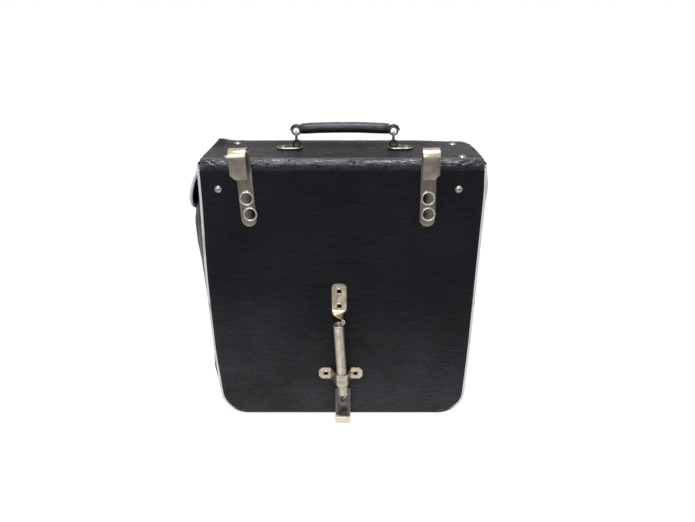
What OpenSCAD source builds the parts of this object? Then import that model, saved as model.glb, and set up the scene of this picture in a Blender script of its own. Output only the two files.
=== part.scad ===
// Bicycle pannier bag in black leatherette over stiff boards. Two metal hooks hang it on a rack rail,
// and a sprung hook on the back holds it down. Millimetres, +Z up, origin on the floor at the middle
// of the base. The back, which faces the wheel, looks along -Y, and the flap closes the +Y side.

/* [Bag body] */
// Width of the back and front panels
panel_w = 310; // [280:1:360]
// Height of the lid's top above the floor
bag_h = 342; // [320:1:400]
// Depth from the face of the back to the face of the flap
bag_d = 100; // [92:1:130]
// Radius of the panels' lower corners
corner_r = 30; // [20:1:45]
// Greatest bulge of the left gusset past the panels' edges
left_bulge = 16; // [8:0.5:18]
// Greatest bulge of the right gusset past the panels' edges
right_bulge = 5; // [4:0.5:18]
// Bulge of a side gusset at its top edge
gusset_tuck = 2.4; // [2:0.2:4]
// Distance of the greatest bulge under the lid's top
bulge_drop = 107; // [95:1:130]
// Distance of a gusset's top edge under the lid's top
gusset_drop = 13; // [12:0.5:20]
// Thickness of the gussets and the bottom panel
gusset_t = 1.8; // [1.2:0.1:2.4]
// Height of the seam that the bottom panel turns up inside
seam_h = 12; // [8:0.5:16]
// Thickness of the leatherette
cover_t = 1.2; // [0.8:0.1:1.6]
// Thickness of the back board
back_board_t = 3; // [2:0.1:4]
// Thickness of the front board
front_board_t = 1.8; // [1.2:0.1:3]
// Distance of the front panel's top under the back panel's top
front_drop = 3; // [2:0.5:12]
// Thickness of the loose board inside the bottom
bottom_board_t = 2.4; // [1.5:0.1:4]
// Diameter of the piping round the panels
piping_d = 3.6; // [3.4:0.1:4.6]

/* [Lid and flap] */
// Outer radius of the leatherette folds that hinge the lid and the flap
fold_r = 8; // [7:0.5:10]
// Straight run of a fold past its curve
fold_land = 3; // [2:0.5:4]
// Distance of the lid's face under the crown of the folds
lid_drop = 0.4; // [0.3:0.1:0.6]
// Thickness of the lid board
lid_board_t = 2.4; // [1.6:0.1:3]
// Length of the front flap under its fold
flap_len = 190; // [150:1:220]
// Radius of the flap's lower corners
flap_corner_r = 28; // [15:1:45]
// Distance of the flap's edges inside the panels' edges
flap_inset = 3; // [2:0.5:6]
// Thickness of the flap board
flap_board_t = 1.2; // [0.8:0.1:1.6]
// Diameter of the flap's piping
flap_piping_d = 4; // [3:0.1:4]
// Room between the flap and the front panel
flap_room = 2; // [1.8:0.1:3]
// Depth that the lid's side ears hang over the gussets
ear_drop = 57; // [44:1:60]
// Thickness of the lid's side ears
ear_t = 1.4; // [1:0.1:2]
// Width of the ear that is riveted under the lid
ear_flange = 38; // [34:1:50]
// Distance of an ear's shoulder outside the lid's edge
ear_out = 4.5; // [4.5:0.5:8]
// Outward bow of the left ear under its shoulder
left_ear_bow = 9; // [6:0.5:16]
// Outward bow of the right ear under its shoulder
right_ear_bow = 1.6; // [1:0.2:16]
// Radius of the ears' lower corners
ear_corner_r = 26; // [15:1:30]
// Diameter of the ears' piping
ear_piping_d = 3.8; // [3:0.1:4.2]

/* [Rack hooks] */
// Width of the hook strip
hook_w = 17; // [16:0.5:24]
// Width that the left hook's lip has past the strip on its outer side
left_lip_side = 3.3; // [1:0.1:8]
// Width that the right hook's lip has past the strip on its outer side
right_lip_side = 1; // [1:0.1:8]
// How far the left hook's fold runs askew, which draws in the lip's inner side
left_lip_skew = 2; // [0:0.2:4]
// Thickness of the hook strip
hook_t = 1.6; // [1.2:0.1:2.5]
// Inner radius of the hook's bend, which sits on the rack rail
hook_r = 7.5; // [6:0.5:10]
// Height of the hook above the lid's top
hook_rise = 15; // [12:0.5:25]
// Length of the lip from the top of the hook
lip_len = 32; // [26:0.5:44]
// Cut across the lip's outer lower corner
lip_cut = 5; // [2:0.5:8]
// Length of the strip under the lid's top
hook_tail = 76; // [72:1:100]
// Distance of the left hook from the panel's left edge
left_hook_inset = 49.5; // [36:0.5:66]
// Lean of the left hook
left_hook_tilt = 2; // [0:0.5:6]
// Distance of the left hook's lower rivet from the strip's middle
left_low_shift = 2.2; // [0:0.2:3]
// Distance of the right hook from the panel's right edge
right_hook_inset = 59.5; // [40:0.5:66]
// Lean of the right hook
right_hook_tilt = 1.5; // [0:0.5:6]
// Distance of the right hook's lower rivet from the strip's middle
right_low_shift = 0.8; // [0:0.2:3]
// Distance of the upper hook rivet under the lid's top
hook_rivet_drop = 42.5; // [38:0.5:46]
// Distance between a hook's two rivets
hook_rivet_pitch = 18.5; // [16:0.5:22]
// Diameter of the cupped rivet heads
cup_d = 16.4; // [11:0.1:16.8]
// Height of the cupped rivet heads
cup_h = 2.4; // [1.8:0.1:3]
// Thickness of the plates behind the hooks
backing_t = 1; // [0.8:0.1:1.5]

/* [Small rivets] */
// Diameter of the small domed rivet heads
dome_d = 8.5; // [6:0.5:10]
// Height of the small domed rivet heads
dome_h = 2; // [1.2:0.1:2.5]
// Diameter of every solid rivet shank
shank_d = 3.4; // [2.5:0.1:4]
// Diameter of the washers inside the bag
washer_d = 10; // [8:0.5:12]
// Thickness of the washers inside the bag
washer_t = 0.8; // [0.6:0.1:1.2]
// Distance of the back corner rivets from the panel's left edge
left_corner_inset = 18; // [12:0.5:22]
// Distance of the back corner rivets from the panel's right edge
right_corner_inset = 26; // [12:0.5:30]
// Distance of the back corner rivets under the lid's top
corner_rivet_drop = 33; // [28:0.5:45]
// Distance of the lid rivets from the lid's side edges
lid_rivet_inset = 25; // [18:0.5:28]
// Shift of the lid rivets to the right
lid_rivet_shift = 3; // [-3:0.5:3]
// Distance of the rear lid rivets from the back
lid_rivet_rear = 16.5; // [16:0.5:24]
// Distance of the forward lid rivets from the flap's face
lid_rivet_front = 20; // [18:0.5:28]

/* [Handle] */
// Place of the handle across the bag
handle_x = 3; // [-5:0.5:8]
// Place of the handle along the bag's depth
handle_y = 8; // [-6:0.5:14]
// Distance between the two links
link_span = 113; // [100:1:130]
// Height of the grip's end eyes above the lid
grip_rise = 20.4; // [19:0.2:26]
// Diameter of the wrapped grip
grip_d = 12.5; // [10:0.5:15]
// Rise of the grip's middle above its ends
grip_arch = 1.6; // [1.4:0.1:7]
// Height of the grip's ends over the middle of its eyes
grip_lift = 2.2; // [0:0.2:2.4]
// Diameter of the grip's core
core_d = 4.4; // [3:0.2:6]
// Radius of the grip's end eyes, to the middle of their wire
grip_eye_r = 4.5; // [4.4:0.1:5]
// Diameter of the wire of the grip's end eyes
grip_eye_wire = 2.5; // [2:0.1:2.6]
// Diameter of the link wire
link_wire = 2.6; // [2:0.1:2.6]
// Half width of a link, to the middle of its wire
link_r = 3.2; // [3.2:0.1:3.6]
// Radius of a chape's eye, to the middle of its wire
chape_eye_r = 4.2; // [4.2:0.1:4.8]
// Diameter of the wire of a chape's eye
chape_eye_wire = 2.3; // [2:0.1:2.4]
// Length of a chape plate
chape_l = 30; // [29:0.5:36]
// Width of a chape plate
chape_w = 18; // [12:0.5:20]
// Thickness of a chape plate
chape_t = 1.4; // [1:0.1:2]
// Distance of a chape's rivet from its eye
chape_rivet_reach = 16; // [15.5:0.5:18]

/* [Lower catch] */
// Place of the anchor strip across the back
anchor_x = -4; // [-8:0.5:4]
// Width of the anchor strip
anchor_w = 17.6; // [16:0.2:22]
// Thickness of the anchor strip
anchor_t = 1.6; // [1.2:0.1:2]
// Length of the anchor's flat part
anchor_flat = 34.6; // [34:0.5:44]
// Length of the anchor's twist
anchor_twist = 6.8; // [6:0.5:10]
// Length of the anchor's turned tab
anchor_tab = 7; // [6.6:0.2:8]
// Reach of the turned tab off the back
tab_reach = 14.4; // [13:0.5:15]
// Distance of the upper anchor rivet under the anchor's top
anchor_rivet_drop = 9.5; // [8:0.5:12]
// Distance between the anchor's two rivets
anchor_rivet_pitch = 20; // [16:0.5:20]
// Outer diameter of the hollow rivets' flanges
tube_flange_d = 8.4; // [7.4:0.2:9]
// Diameter of the hollow rivets' tubes
tube_d = 6.4; // [5:0.2:6.6]
// Bore of the hollow rivets
tube_bore = 5; // [3.6:0.2:5]
// Outer diameter of the spring
spring_d = 13.6; // [12:0.2:14]
// Diameter of the spring wire
spring_wire = 1.3; // [1:0.1:1.3]
// Length of the coiled part of the spring
spring_l = 101.3; // [96:1:120]
// Reach of the spring's upper hook above the turns
top_hook_l = 4.9; // [4.6:0.1:6]
// Number of the spring's turns
spring_turns = 56; // [30:1:56]
// Place of the spring's lower end across the back
spring_foot_x = 0.4; // [-1:0.2:3]
// Height of the spring's lower end above the floor
spring_foot_z = 42; // [38:0.5:44]
// Width of the strap that guides the spring
guide_w = 16.5; // [14:0.5:20]
// Thickness of the strap that guides the spring
guide_t = 1.2; // [1:0.1:1.6]
// Length of the guide from ear to ear
guide_l = 55.6; // [52:0.2:64]
// Distance between the guide's two rivets
guide_rivet_pitch = 37.4; // [36:0.2:40]
// Offset of the guide's ears from its arch
guide_skew = -1.8; // [-3:0.2:3]
// Height of the guide's middle above the floor
guide_z = 65.5; // [60:0.5:80]
// Cut across the corners of the guide's ears
guide_cut = 4; // [2:0.5:6]
// Place of the lower hook across the back
low_hook_x = 0; // [-1:0.5:3]
// Width of the lower hook
low_hook_w = 19.3; // [16:0.1:24]
// Thickness of the lower hook
low_hook_t = 1.5; // [1.2:0.1:1.8]
// Inner radius of the lower hook's bend
low_hook_r = 7.2; // [5:0.2:7.6]
// Lean of the lower hook's strip, out from the back
low_lean = 9.5; // [0:0.5:12]
// Height of the lower hook's lip above its bend
low_lip = 3.5; // [1:0.5:6]
// Height of the lower hook's upper end above the floor
low_hook_z = 43; // [40:0.5:50]
// Distance of the spring's hole under the spring's lower end
low_hole_drop = 15.5; // [15:0.5:19]
// Diameter of the spring's hole
low_hole_d = 5.2; // [4.6:0.2:7]

/* [Turn locks] */
// Distance of each lock from the panel's nearer edge
lock_inset = 70; // [45:1:100]
// Height of the locks above the flap's lower edge
lock_rise = 27; // [22:1:50]
// Length of a lock's base plate
base_l = 34; // [33:0.5:38]
// Width of a lock's base plate
base_w = 16; // [14:0.5:20]
// Thickness of a lock's base plate
base_t = 1; // [0.6:0.1:1.2]
// Diameter of the boss that the knob turns in
boss_d = 9; // [8:0.2:10]
// Length of a knob
knob_l = 22; // [18:0.5:23]
// Width of a knob
knob_w = 7; // [5.4:0.2:8]
// Thickness of a knob
knob_t = 4; // [3:0.1:5]
// Diameter of a knob's shaft
knob_shaft_d = 5; // [4:0.2:5.2]
// Length of the slot that the knob passes through
slot_l = 28; // [27:0.5:29]
// Width of the slot that the knob passes through
slot_w = 12; // [11:0.2:13]
// Width of the eyelet's rim round the slot
eyelet_rim = 5; // [4:0.2:7]
// Thickness of the eyelet's rim
eyelet_t = 1.2; // [0.8:0.1:1.6]
// Thickness of the ring that clinches the eyelet inside the flap
clinch_t = 0.6; // [0.4:0.1:0.8]

/* [Clearances] */
// Room between a shank and its hole, on the diameter
hole_room = 0.1; // [0.05:0.05:0.3]
// Room between pieces that move past each other
run_room = 0.3; // [0.3:0.05:0.4]
// Gap at a sewn edge
seam_gap = 0.05; // [0.02:0.01:0.1]
// Height of the piping above the floor
floor_room = 0.3; // [0.1:0.1:1]

/* [Hidden] */
$fn = 48;

leatherette = "#24242a";
board_brown = "#7a6248";
piping_white = "#d9d4da";
nickel = "#a89f8f";

left = -1;
right = 1;
sides = [left, right];

// Faces of the body from back to front
back_y = -bag_d / 2;
back_inner_y = back_y + cover_t + back_board_t;
flap_y = bag_d / 2;
flap_inner_y = flap_y - cover_t - flap_board_t;
front_y = flap_inner_y - flap_room;
front_inner_y = front_y - cover_t - front_board_t;

// Heights of the body from the floor up
piping_out = piping_d / 2 + seam_gap;
piping_z = floor_room + piping_d / 2;
panel_z = piping_z + piping_out;
hinge_z = bag_h - fold_r;
panel_top = hinge_z - fold_land;
front_top = panel_top - front_drop;
lid_top = bag_h - lid_drop;
lid_under = lid_top - cover_t - lid_board_t;
gusset_top = bag_h - gusset_drop;
rear_hinge_y = back_y + fold_r;
flap_hinge_y = flap_y - fold_r;

// Stations of a side gusset, up its lower corner and then up its side
corner_steps = 6;
side_steps = 12;
across_steps = 8;
bulge_z = bag_h - bulge_drop;
corner_x = panel_w / 2 - corner_r;
corner_z = panel_z + corner_r;

// Rivets of the back: place across, height, hole diameter
hooks = [
    [left_hook_inset - panel_w / 2, left_hook_tilt, left_low_shift],
    [panel_w / 2 - right_hook_inset, right_hook_tilt, right_low_shift]];
hook_pivot_z = bag_h - hook_rivet_drop - hook_rivet_pitch / 2;
corner_rivet_z = bag_h - corner_rivet_drop;
corner_rivet_x = [left_corner_inset - panel_w / 2, panel_w / 2 - right_corner_inset];

// The lower catch: the spring stands off the back by the strip and the wire that hooks behind it
strip_y = back_y - spring_wire - run_room;
spring_y = strip_y - low_hook_t - 3 * run_room - spring_d / 2;
coil_r = (spring_d - spring_wire) / 2;
tab_x = anchor_x + anchor_w / 4;
tab_hole_d = 3 * spring_wire;
spring_top_x = tab_x - coil_r + spring_wire / 2;
spring_lean = asin((spring_foot_x - spring_top_x) / spring_l);
tab_hole_z = spring_foot_z + (spring_l + top_hook_l) * cos(spring_lean);
tab_top = tab_hole_z + anchor_tab / 2;
anchor_z = tab_top + anchor_twist + anchor_flat;
anchor_rivet_z = [anchor_z - anchor_rivet_drop, anchor_z - anchor_rivet_drop - anchor_rivet_pitch];
guide_arch_x = spring_foot_x - tan(spring_lean) * (guide_z - spring_foot_z);
guide_r = spring_d / 2 + guide_w / 2 * tan(spring_lean) + run_room;
guide_leg = guide_r + guide_t + 4;
guide_rivet_x = [for (s = sides) guide_arch_x + guide_skew + s * guide_rivet_pitch / 2];

// The handle: heights of the eyes, of the links' wire and of the two pivots
chape_eye_z = lid_top + chape_eye_r + chape_eye_wire / 2;
link_pivot_z = chape_eye_z + chape_eye_r;
grip_eye_z = lid_top + grip_rise;
grip_pivot_z = grip_eye_z - grip_eye_r;
link_low_z = link_pivot_z - (chape_eye_wire + link_wire) / 2 - run_room;
link_high_z = grip_pivot_z + (grip_eye_wire + link_wire) / 2 + run_room;
grip_half = link_span / 2 - grip_eye_r - grip_eye_wire / 2;
core_half = link_span / 2 - grip_eye_r;
arch_r = (pow(core_half, 2) + pow(grip_arch, 2)) / (2 * grip_arch);

// Lid rivets
lid_rivet_y = [back_y + lid_rivet_rear, flap_y - lid_rivet_front];
lid_rivet_x = panel_w / 2 - lid_rivet_inset;
ear_x = panel_w / 2 + ear_out;
ear_y = [rear_hinge_y + fold_land, flap_hinge_y - 2 * fold_land - ear_piping_d / 2];
ear_bend_r = 4;
ear_bow_arc = 95;
ear_low = lid_under - ear_drop;
ear_wall_top = lid_under - ear_bend_r;

// Turn locks
flap_low = panel_top - flap_len;
lock_x = panel_w / 2 - lock_inset;
lock_z = flap_low + lock_rise;
lock_rivet_x = slot_l / 2 - 2;
lock_shank_d = 2;
collar_t = 1;
knob_y = flap_y + eyelet_t + 2 * run_room;
knob_disc_d = 9;
knob_disc_t = 1;

function smooth(t) = let (u = min(max(t, 0), 1)) u * u * (3 - 2 * u);

// Bulge of a gusset past the panel's edge at a height
function bulge_at(z, most) = z < bulge_z
    ? panel_z + (most - panel_z) * smooth((z - panel_z) / (bulge_z - panel_z))
    : gusset_tuck + (most - gusset_tuck) * smooth((gusset_top - z) / (gusset_top - bulge_z));

// A station along the gusset: point on the panel's edge and the way out of the bag
function corner_station(i) = let (a = -90 + 90 * i / corner_steps)
    [corner_x + corner_r * cos(a), corner_z + corner_r * sin(a), cos(a), sin(a)];
function side_station(i) =
    [panel_w / 2, corner_z + (gusset_top - corner_z) * i / side_steps, 1, 0];
stations = concat(
    [for (i = [0 : corner_steps]) corner_station(i)],
    [for (i = [1 : side_steps]) side_station(i)]);

function gusset_point(s, j, most, inward) = let (
    v = j / across_steps,
    out = bulge_at(s[1], most) * (1 - pow(abs(2 * v - 1), 4)) - inward)
    [s[0] + s[2] * out, back_inner_y + (front_inner_y - back_inner_y) * v, s[1] + s[3] * out];

// Two triangles for each cell of a grid of points, where rows runs along and columns across
function grid_faces(rows, columns, first, flip) = [
    for (i = [0 : rows - 2], j = [0 : columns - 2]) let (
        a = first + i * columns + j,
        b = a + 1,
        c = a + columns,
        d = c + 1)
        each flip ? [[a, b, c], [b, d, c]] : [[a, c, b], [b, c, d]]];

// Two triangles for each step of a band between two rows of points
function band_faces(row_a, row_b) = [
    for (i = [0 : len(row_a) - 2])
        each [[row_a[i], row_b[i], row_a[i + 1]], [row_b[i], row_b[i + 1], row_a[i + 1]]]];

// A hook's two rivets on its strip: distance across and up from the middle between them
function rivets_on_strip(hook) = [[hook[2], -hook_rivet_pitch / 2], [0, hook_rivet_pitch / 2]];
function hook_rivet_spots(hook) = [for (p = rivets_on_strip(hook))
    [hook[0] - sin(hook[1]) * p[1] + cos(hook[1]) * p[0],
     hook_pivot_z + cos(hook[1]) * p[1] + sin(hook[1]) * p[0]]];

// Every hole through the back: place across, height and shank diameter
back_holes = concat(
    [for (h = hooks, spot = hook_rivet_spots(h)) [spot[0], spot[1], shank_d]],
    [for (x = corner_rivet_x) [x, corner_rivet_z, shank_d]],
    [for (z = anchor_rivet_z) [anchor_x, z, tube_d]],
    [for (x = guide_rivet_x) [x, guide_z, tube_d]]);

// A sheet standing across the bag, from y0 forward, cut to an outline in X and Z
module sheet_y(y0, t) {
    translate([0, y0 + t, 0]) rotate([90, 0, 0]) linear_extrude(t) children();
}

// A bar along X with an outline in Y and Z
module bar_x(x0, length) {
    translate([x0, 0, 0]) rotate([90, 0, 90]) linear_extrude(length) children();
}

// Turns what is built along +Z to stand out of the back, or out of the front
module on_back(x, z, y = back_y) {
    translate([x, y, z]) rotate([90, 0, 0]) children();
}
module on_front(x, z, y) {
    translate([x, y, z]) rotate([-90, 0, 0]) children();
}

// A panel's outline, square on top and round at its lower corners
module panel_outline(w, low, top, r) {
    translate([-w / 2, low + r]) square([w, top - low - r]);
    translate([-w / 2 + r, low]) square([w - 2 * r, r]);
    for (s = sides) translate([s * (w / 2 - r), low + r]) circle(r);
}

module stadium(l, w) {
    square([l - w, w], center = true);
    for (s = sides) translate([s * (l - w) / 2, 0]) circle(d = w);
}

// Piping down both sides and along the bottom, on a path that is out past a panel's edge
module piping(w, low, top, r, y, d) {
    out = d / 2 + seam_gap;
    translate([0, y, 0]) {
        for (s = sides) {
            translate([s * (w / 2 + out), 0, low + r]) cylinder(d = d, h = top - low - r);
            translate([s * (w / 2 - r), 0, low + r])
                mirror([s == left ? 1 : 0, 0, 0]) rotate([-90, 0, 0])
                    rotate_extrude(angle = 90) translate([r + out, 0]) circle(d = d);
        }
        translate([r - w / 2, 0, low - out]) rotate([0, 90, 0]) cylinder(d = d, h = w - 2 * r);
    }
}

// A solid rivet along Z: head above, shank through grip, and a set tail under it
module shank(d, grip, tail_d, tail_t) {
    translate([0, 0, -grip]) cylinder(d = d, h = grip + seam_gap);
    translate([0, 0, -grip - tail_t]) cylinder(d = tail_d, h = tail_t);
}

module dome_rivet(d, h, shaft_d, grip, tail_d, tail_t) {
    ball = (pow(d / 2, 2) + pow(h, 2)) / (2 * h);
    intersection() {
        translate([0, 0, h - ball]) sphere(ball);
        cylinder(d = 2 * d, h = 2 * h);
    }
    shank(shaft_d, grip, tail_d, tail_t);
}

module cup_rivet(grip) {
    rim = cup_d / 2 - 1.2;
    depth = cup_h * 0.75;
    ball = (pow(rim, 2) + pow(depth, 2)) / (2 * depth);
    difference() {
        cylinder(d = cup_d, h = cup_h);
        translate([0, 0, cup_h - depth + ball]) sphere(ball);
    }
    shank(shank_d, grip, shank_d + 4, washer_t);
}

// A hollow rivet set from inside: flat head in the bag, rolled open end outside
module tube_rivet(grip) {
    rolled = 0.8;
    difference() {
        union() {
            cylinder(d = tube_flange_d, h = rolled);
            shank(tube_d, grip, tube_flange_d, washer_t);
        }
        translate([0, 0, -grip]) cylinder(d = tube_bore, h = grip + 2 * rolled);
    }
}

module washer(bore) {
    difference() {
        cylinder(d = washer_d, h = washer_t);
        translate([0, 0, -washer_t]) cylinder(d = bore + hole_room, h = 3 * washer_t);
    }
}

module drilled_back() {
    difference() {
        children();
        for (p = back_holes) on_back(p[0], p[1], back_inner_y + 1)
            cylinder(d = p[2] + hole_room, h = back_inner_y - back_y + 2);
    }
}

module back_cover() {
    color(leatherette) drilled_back()
        sheet_y(back_y, cover_t) panel_outline(panel_w, panel_z, panel_top, corner_r);
}

module back_board() {
    color(board_brown) drilled_back()
        sheet_y(back_y + cover_t, back_board_t)
            panel_outline(panel_w, panel_z, panel_top, corner_r);
}

// The front is drilled for the knobs' shafts and for the rivets of the lock bases
module drilled_front() {
    difference() {
        children();
        for (s = sides) {
            on_front(s * lock_x, lock_z, front_inner_y - 1)
                cylinder(d = knob_shaft_d + 1, h = front_y - front_inner_y + 2);
            for (e = sides) on_front(s * lock_x + e * lock_rivet_x, lock_z, front_inner_y - 1)
                cylinder(d = lock_shank_d + hole_room, h = front_y - front_inner_y + 2);
        }
    }
}

module front_cover() {
    color(leatherette) drilled_front()
        sheet_y(front_y - cover_t, cover_t)
            panel_outline(panel_w, panel_z, front_top, corner_r);
}

module front_board() {
    color(board_brown) drilled_front()
        sheet_y(front_inner_y, front_board_t)
            panel_outline(panel_w, panel_z, front_top, corner_r);
}

// A soft sheet with thickness between two grids of points, the outer one and the inner one
module grid_solid(outer, inner, rows) {
    half = len(outer);
    columns = half / rows;
    rear = [for (i = [0 : rows - 1]) i * columns];
    fore = [for (i = rear) i + columns - 1];
    foot = [for (j = [0 : columns - 1]) j];
    head = [for (j = foot) j + (rows - 1) * columns];
    polyhedron(concat(outer, inner), concat(
        grid_faces(rows, columns, 0, false),
        grid_faces(rows, columns, half, true),
        band_faces(rear, [for (i = rear) i + half]),
        band_faces([for (i = fore) i + half], fore),
        band_faces([for (j = foot) j + half], foot),
        band_faces(head, [for (j = head) j + half])));
}

// A gusset that bulges between its two sewn edges
module gusset(most) {
    color(leatherette) grid_solid(
        [for (s = stations, j = [0 : across_steps]) gusset_point(s, j, most, 0)],
        [for (s = stations, j = [0 : across_steps]) gusset_point(s, j, most, gusset_t)],
        len(stations));
}

module left_gusset() {
    mirror([1, 0, 0]) gusset(left_bulge);
}

module right_gusset() {
    gusset(right_bulge);
}

module bottom_panel() {
    depth = front_inner_y - back_inner_y;
    color(leatherette) translate([-corner_x, back_inner_y, 0]) {
        cube([2 * corner_x, depth, gusset_t]);
        cube([2 * corner_x, gusset_t, seam_h]);
        translate([0, depth - gusset_t, 0]) cube([2 * corner_x, gusset_t, seam_h]);
    }
}

module bottom_board() {
    edge = gusset_t + 1;
    color(board_brown) translate([edge - corner_x, back_inner_y + edge, gusset_t])
        cube([2 * (corner_x - edge), front_inner_y - back_inner_y - 2 * edge, bottom_board_t]);
}

module back_piping() {
    color(piping_white) piping(panel_w, panel_z, panel_top, corner_r,
        back_inner_y - piping_d / 2, piping_d);
}

module front_piping() {
    color(piping_white) piping(panel_w, panel_z, front_top, corner_r,
        front_inner_y + piping_d / 2, piping_d);
}

// Leans what is built upright at x = 0 about the middle of a hook's rivets
module at_hook(hook) {
    translate([hook[0], 0, hook_pivot_z]) rotate([0, -hook[1], 0])
        translate([0, 0, -hook_pivot_z]) children();
}

// Seen from the side: up the back, over the rail and down in front
module hook_bend_outline() {
    bend_z = bag_h + hook_rise - hook_t - hook_r;
    bend_y = back_y - hook_t - hook_r;
    translate([bend_y, bend_z]) intersection() {
        difference() {
            circle(hook_r + hook_t);
            circle(hook_r);
        }
        translate([-hook_r - hook_t, 0]) square([2 * (hook_r + hook_t), hook_r + hook_t]);
    }
    translate([back_y - hook_t, bag_h - fold_r]) square([hook_t, bend_z - bag_h + fold_r]);
    translate([back_y - 2 * (hook_t + hook_r), lip_low]) square([hook_t, bend_z - lip_low]);
}

// The lip is wider than the strip on its outer side, and its outer lower corner is cut across
lip_low = bag_h + hook_rise - lip_len;
lip_top = bag_h + hook_rise + hook_t;
module lip_outline(outer) {
    polygon([
        [-hook_w / 2, lip_low], [outer - lip_cut, lip_low], [outer, lip_low + lip_cut],
        [outer, lip_top], [-hook_w / 2, lip_top]]);
}

// Seen from above: the fold's inner side runs askew from the strip to the lip
module lip_plan(outer, skew) {
    lip_y = back_y - 2 * (hook_t + hook_r);
    polygon([[-hook_w / 2, back_y], [outer, back_y], [outer, lip_y], [skew - hook_w / 2, lip_y]]);
}

module hook_strip(lip_side, skew) {
    round_z = bag_h - hook_tail + hook_w / 2;
    outer = hook_w / 2 + lip_side;
    intersection() {
        bar_x(-hook_w / 2, hook_w + lip_side) hook_bend_outline();
        sheet_y(back_y - 3 * (hook_t + hook_r), 3 * (hook_t + hook_r)) lip_outline(outer);
        translate([0, 0, lip_low]) linear_extrude(lip_top - lip_low) lip_plan(outer, skew);
    }
    sheet_y(back_y - hook_t, hook_t) {
        translate([-hook_w / 2, round_z]) square([hook_w, bag_h - fold_r - round_z]);
        translate([0, round_z]) circle(d = hook_w);
    }
}

module rack_hook(hook, side, lip_side, skew) {
    color(nickel) at_hook(hook) difference() {
        mirror([side == left ? 1 : 0, 0, 0]) hook_strip(lip_side, skew);
        for (p = rivets_on_strip(hook)) on_back(p[0], hook_pivot_z + p[1], back_y + hook_t)
            cylinder(d = shank_d + hole_room, h = 3 * hook_t);
    }
}

module left_rack_hook() {
    rack_hook(hooks[0], left, left_lip_side, left_lip_skew);
}

module right_rack_hook() {
    rack_hook(hooks[1], right, right_lip_side, 0);
}

module hook_rivets() {
    grip = hook_t + cover_t + back_board_t + backing_t;
    color(nickel) for (h = hooks, spot = hook_rivet_spots(h))
        on_back(spot[0], spot[1], back_y - hook_t) cup_rivet(grip);
}

module hook_backing_plates() {
    plate_l = hook_rivet_pitch + hook_w;
    color(nickel) for (h = hooks) at_hook(h) difference() {
        on_back(0, hook_pivot_z, back_inner_y + backing_t)
            rotate([0, 0, 90]) linear_extrude(backing_t) stadium(plate_l, hook_w);
        for (p = rivets_on_strip(h)) on_back(p[0], hook_pivot_z + p[1], back_inner_y + 2 * backing_t)
            cylinder(d = shank_d + hole_room, h = 3 * backing_t);
    }
}

module corner_rivets() {
    grip = cover_t + back_board_t + washer_t;
    color(nickel) for (x = corner_rivet_x) on_back(x, corner_rivet_z)
        dome_rivet(dome_d, dome_h, shank_d, grip, shank_d + 3, washer_t);
}

module corner_washers() {
    color(nickel) for (x = corner_rivet_x)
        on_back(x, corner_rivet_z, back_inner_y + washer_t) washer(shank_d);
}

// One section of the anchor's twist: its left edge swings out as the strip turns edge-on
function twist_section(f) = let (
    turn = 90 * smooth(f),
    wide = anchor_w * 3 / 4 * (1 - f) + (tab_reach - anchor_t) * f,
    narrow = anchor_w / 4 * (1 - f) + anchor_t / 2 * f,
    mid_y = back_y - anchor_t / 2 - (narrow + 0.1) * sin(turn) * (1 - f))
    [for (p = [[-wide, -1], [narrow, -1], [narrow, 1], [-wide, 1]]) let (q = p[1] * anchor_t / 2)
        [tab_x + p[0] * cos(turn) - q * sin(turn),
         mid_y + p[0] * sin(turn) + q * cos(turn) - anchor_t / 2 * f,
         anchor_z - anchor_flat - anchor_twist * f]];

module anchor_twisted_part() {
    steps = 10;
    last = 4 * steps;
    points = [for (i = [0 : steps]) each twist_section(i / steps)];
    walls = [for (i = [0 : steps - 1], k = [0 : 3]) let (
        a = 4 * i + k,
        b = 4 * i + (k + 1) % 4)
        each [[a, b, a + 4], [b, b + 4, a + 4]]];
    polyhedron(points, concat([[0, 2, 1], [0, 3, 2]],
        walls, [[last, last + 1, last + 2], [last, last + 2, last + 3]]));
}

module spring_anchor() {
    round_r = 5;
    tab_y = back_y - anchor_t - (tab_reach - anchor_t);
    color(nickel) difference() {
        union() {
            sheet_y(back_y - anchor_t, anchor_t) translate([anchor_x, 0]) {
                translate([-anchor_w / 2, anchor_z - anchor_flat])
                    square([anchor_w, anchor_flat - round_r]);
                translate([round_r - anchor_w / 2, anchor_z - round_r])
                    square([anchor_w - 2 * round_r, round_r]);
                for (s = sides)
                    translate([s * (anchor_w / 2 - round_r), anchor_z - round_r]) circle(round_r);
            }
            anchor_twisted_part();
            translate([tab_x - anchor_t / 2, tab_y, tab_top - anchor_tab])
                cube([anchor_t, tab_reach - anchor_t / 2, anchor_tab]);
        }
        for (z = anchor_rivet_z) on_back(anchor_x, z, back_y + anchor_t)
            cylinder(d = tube_d + hole_room, h = 3 * anchor_t);
        translate([tab_x - anchor_t, spring_y, tab_hole_z]) rotate([0, 90, 0])
            cylinder(d = tab_hole_d, h = 2 * anchor_t);
    }
}

module anchor_rivets() {
    grip = anchor_t + cover_t + back_board_t;
    color(nickel) for (z = anchor_rivet_z)
        on_back(anchor_x, z, back_y - anchor_t) tube_rivet(grip);
}

// The space under the guide seen from above: round over the spring, and wider at the back
module guide_tent(r, leg) {
    hull() {
        translate([0, spring_y]) circle(r);
        translate([guide_skew - leg, back_y]) square([2 * leg, guide_t]);
    }
}

// Seen from above: flat ears on the back, sloping legs and a round arch over the spring
module guide_outline() {
    intersection() {
        difference() {
            guide_tent(guide_r + guide_t, guide_leg + guide_t);
            guide_tent(guide_r, guide_leg);
        }
        translate([-guide_l, 2 * back_y]) square([2 * guide_l, -back_y]);
    }
    for (s = sides) translate([guide_skew + s * (guide_leg + guide_l / 2) / 2, back_y - guide_t / 2])
        square([guide_l / 2 - guide_leg, guide_t], center = true);
}

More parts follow.
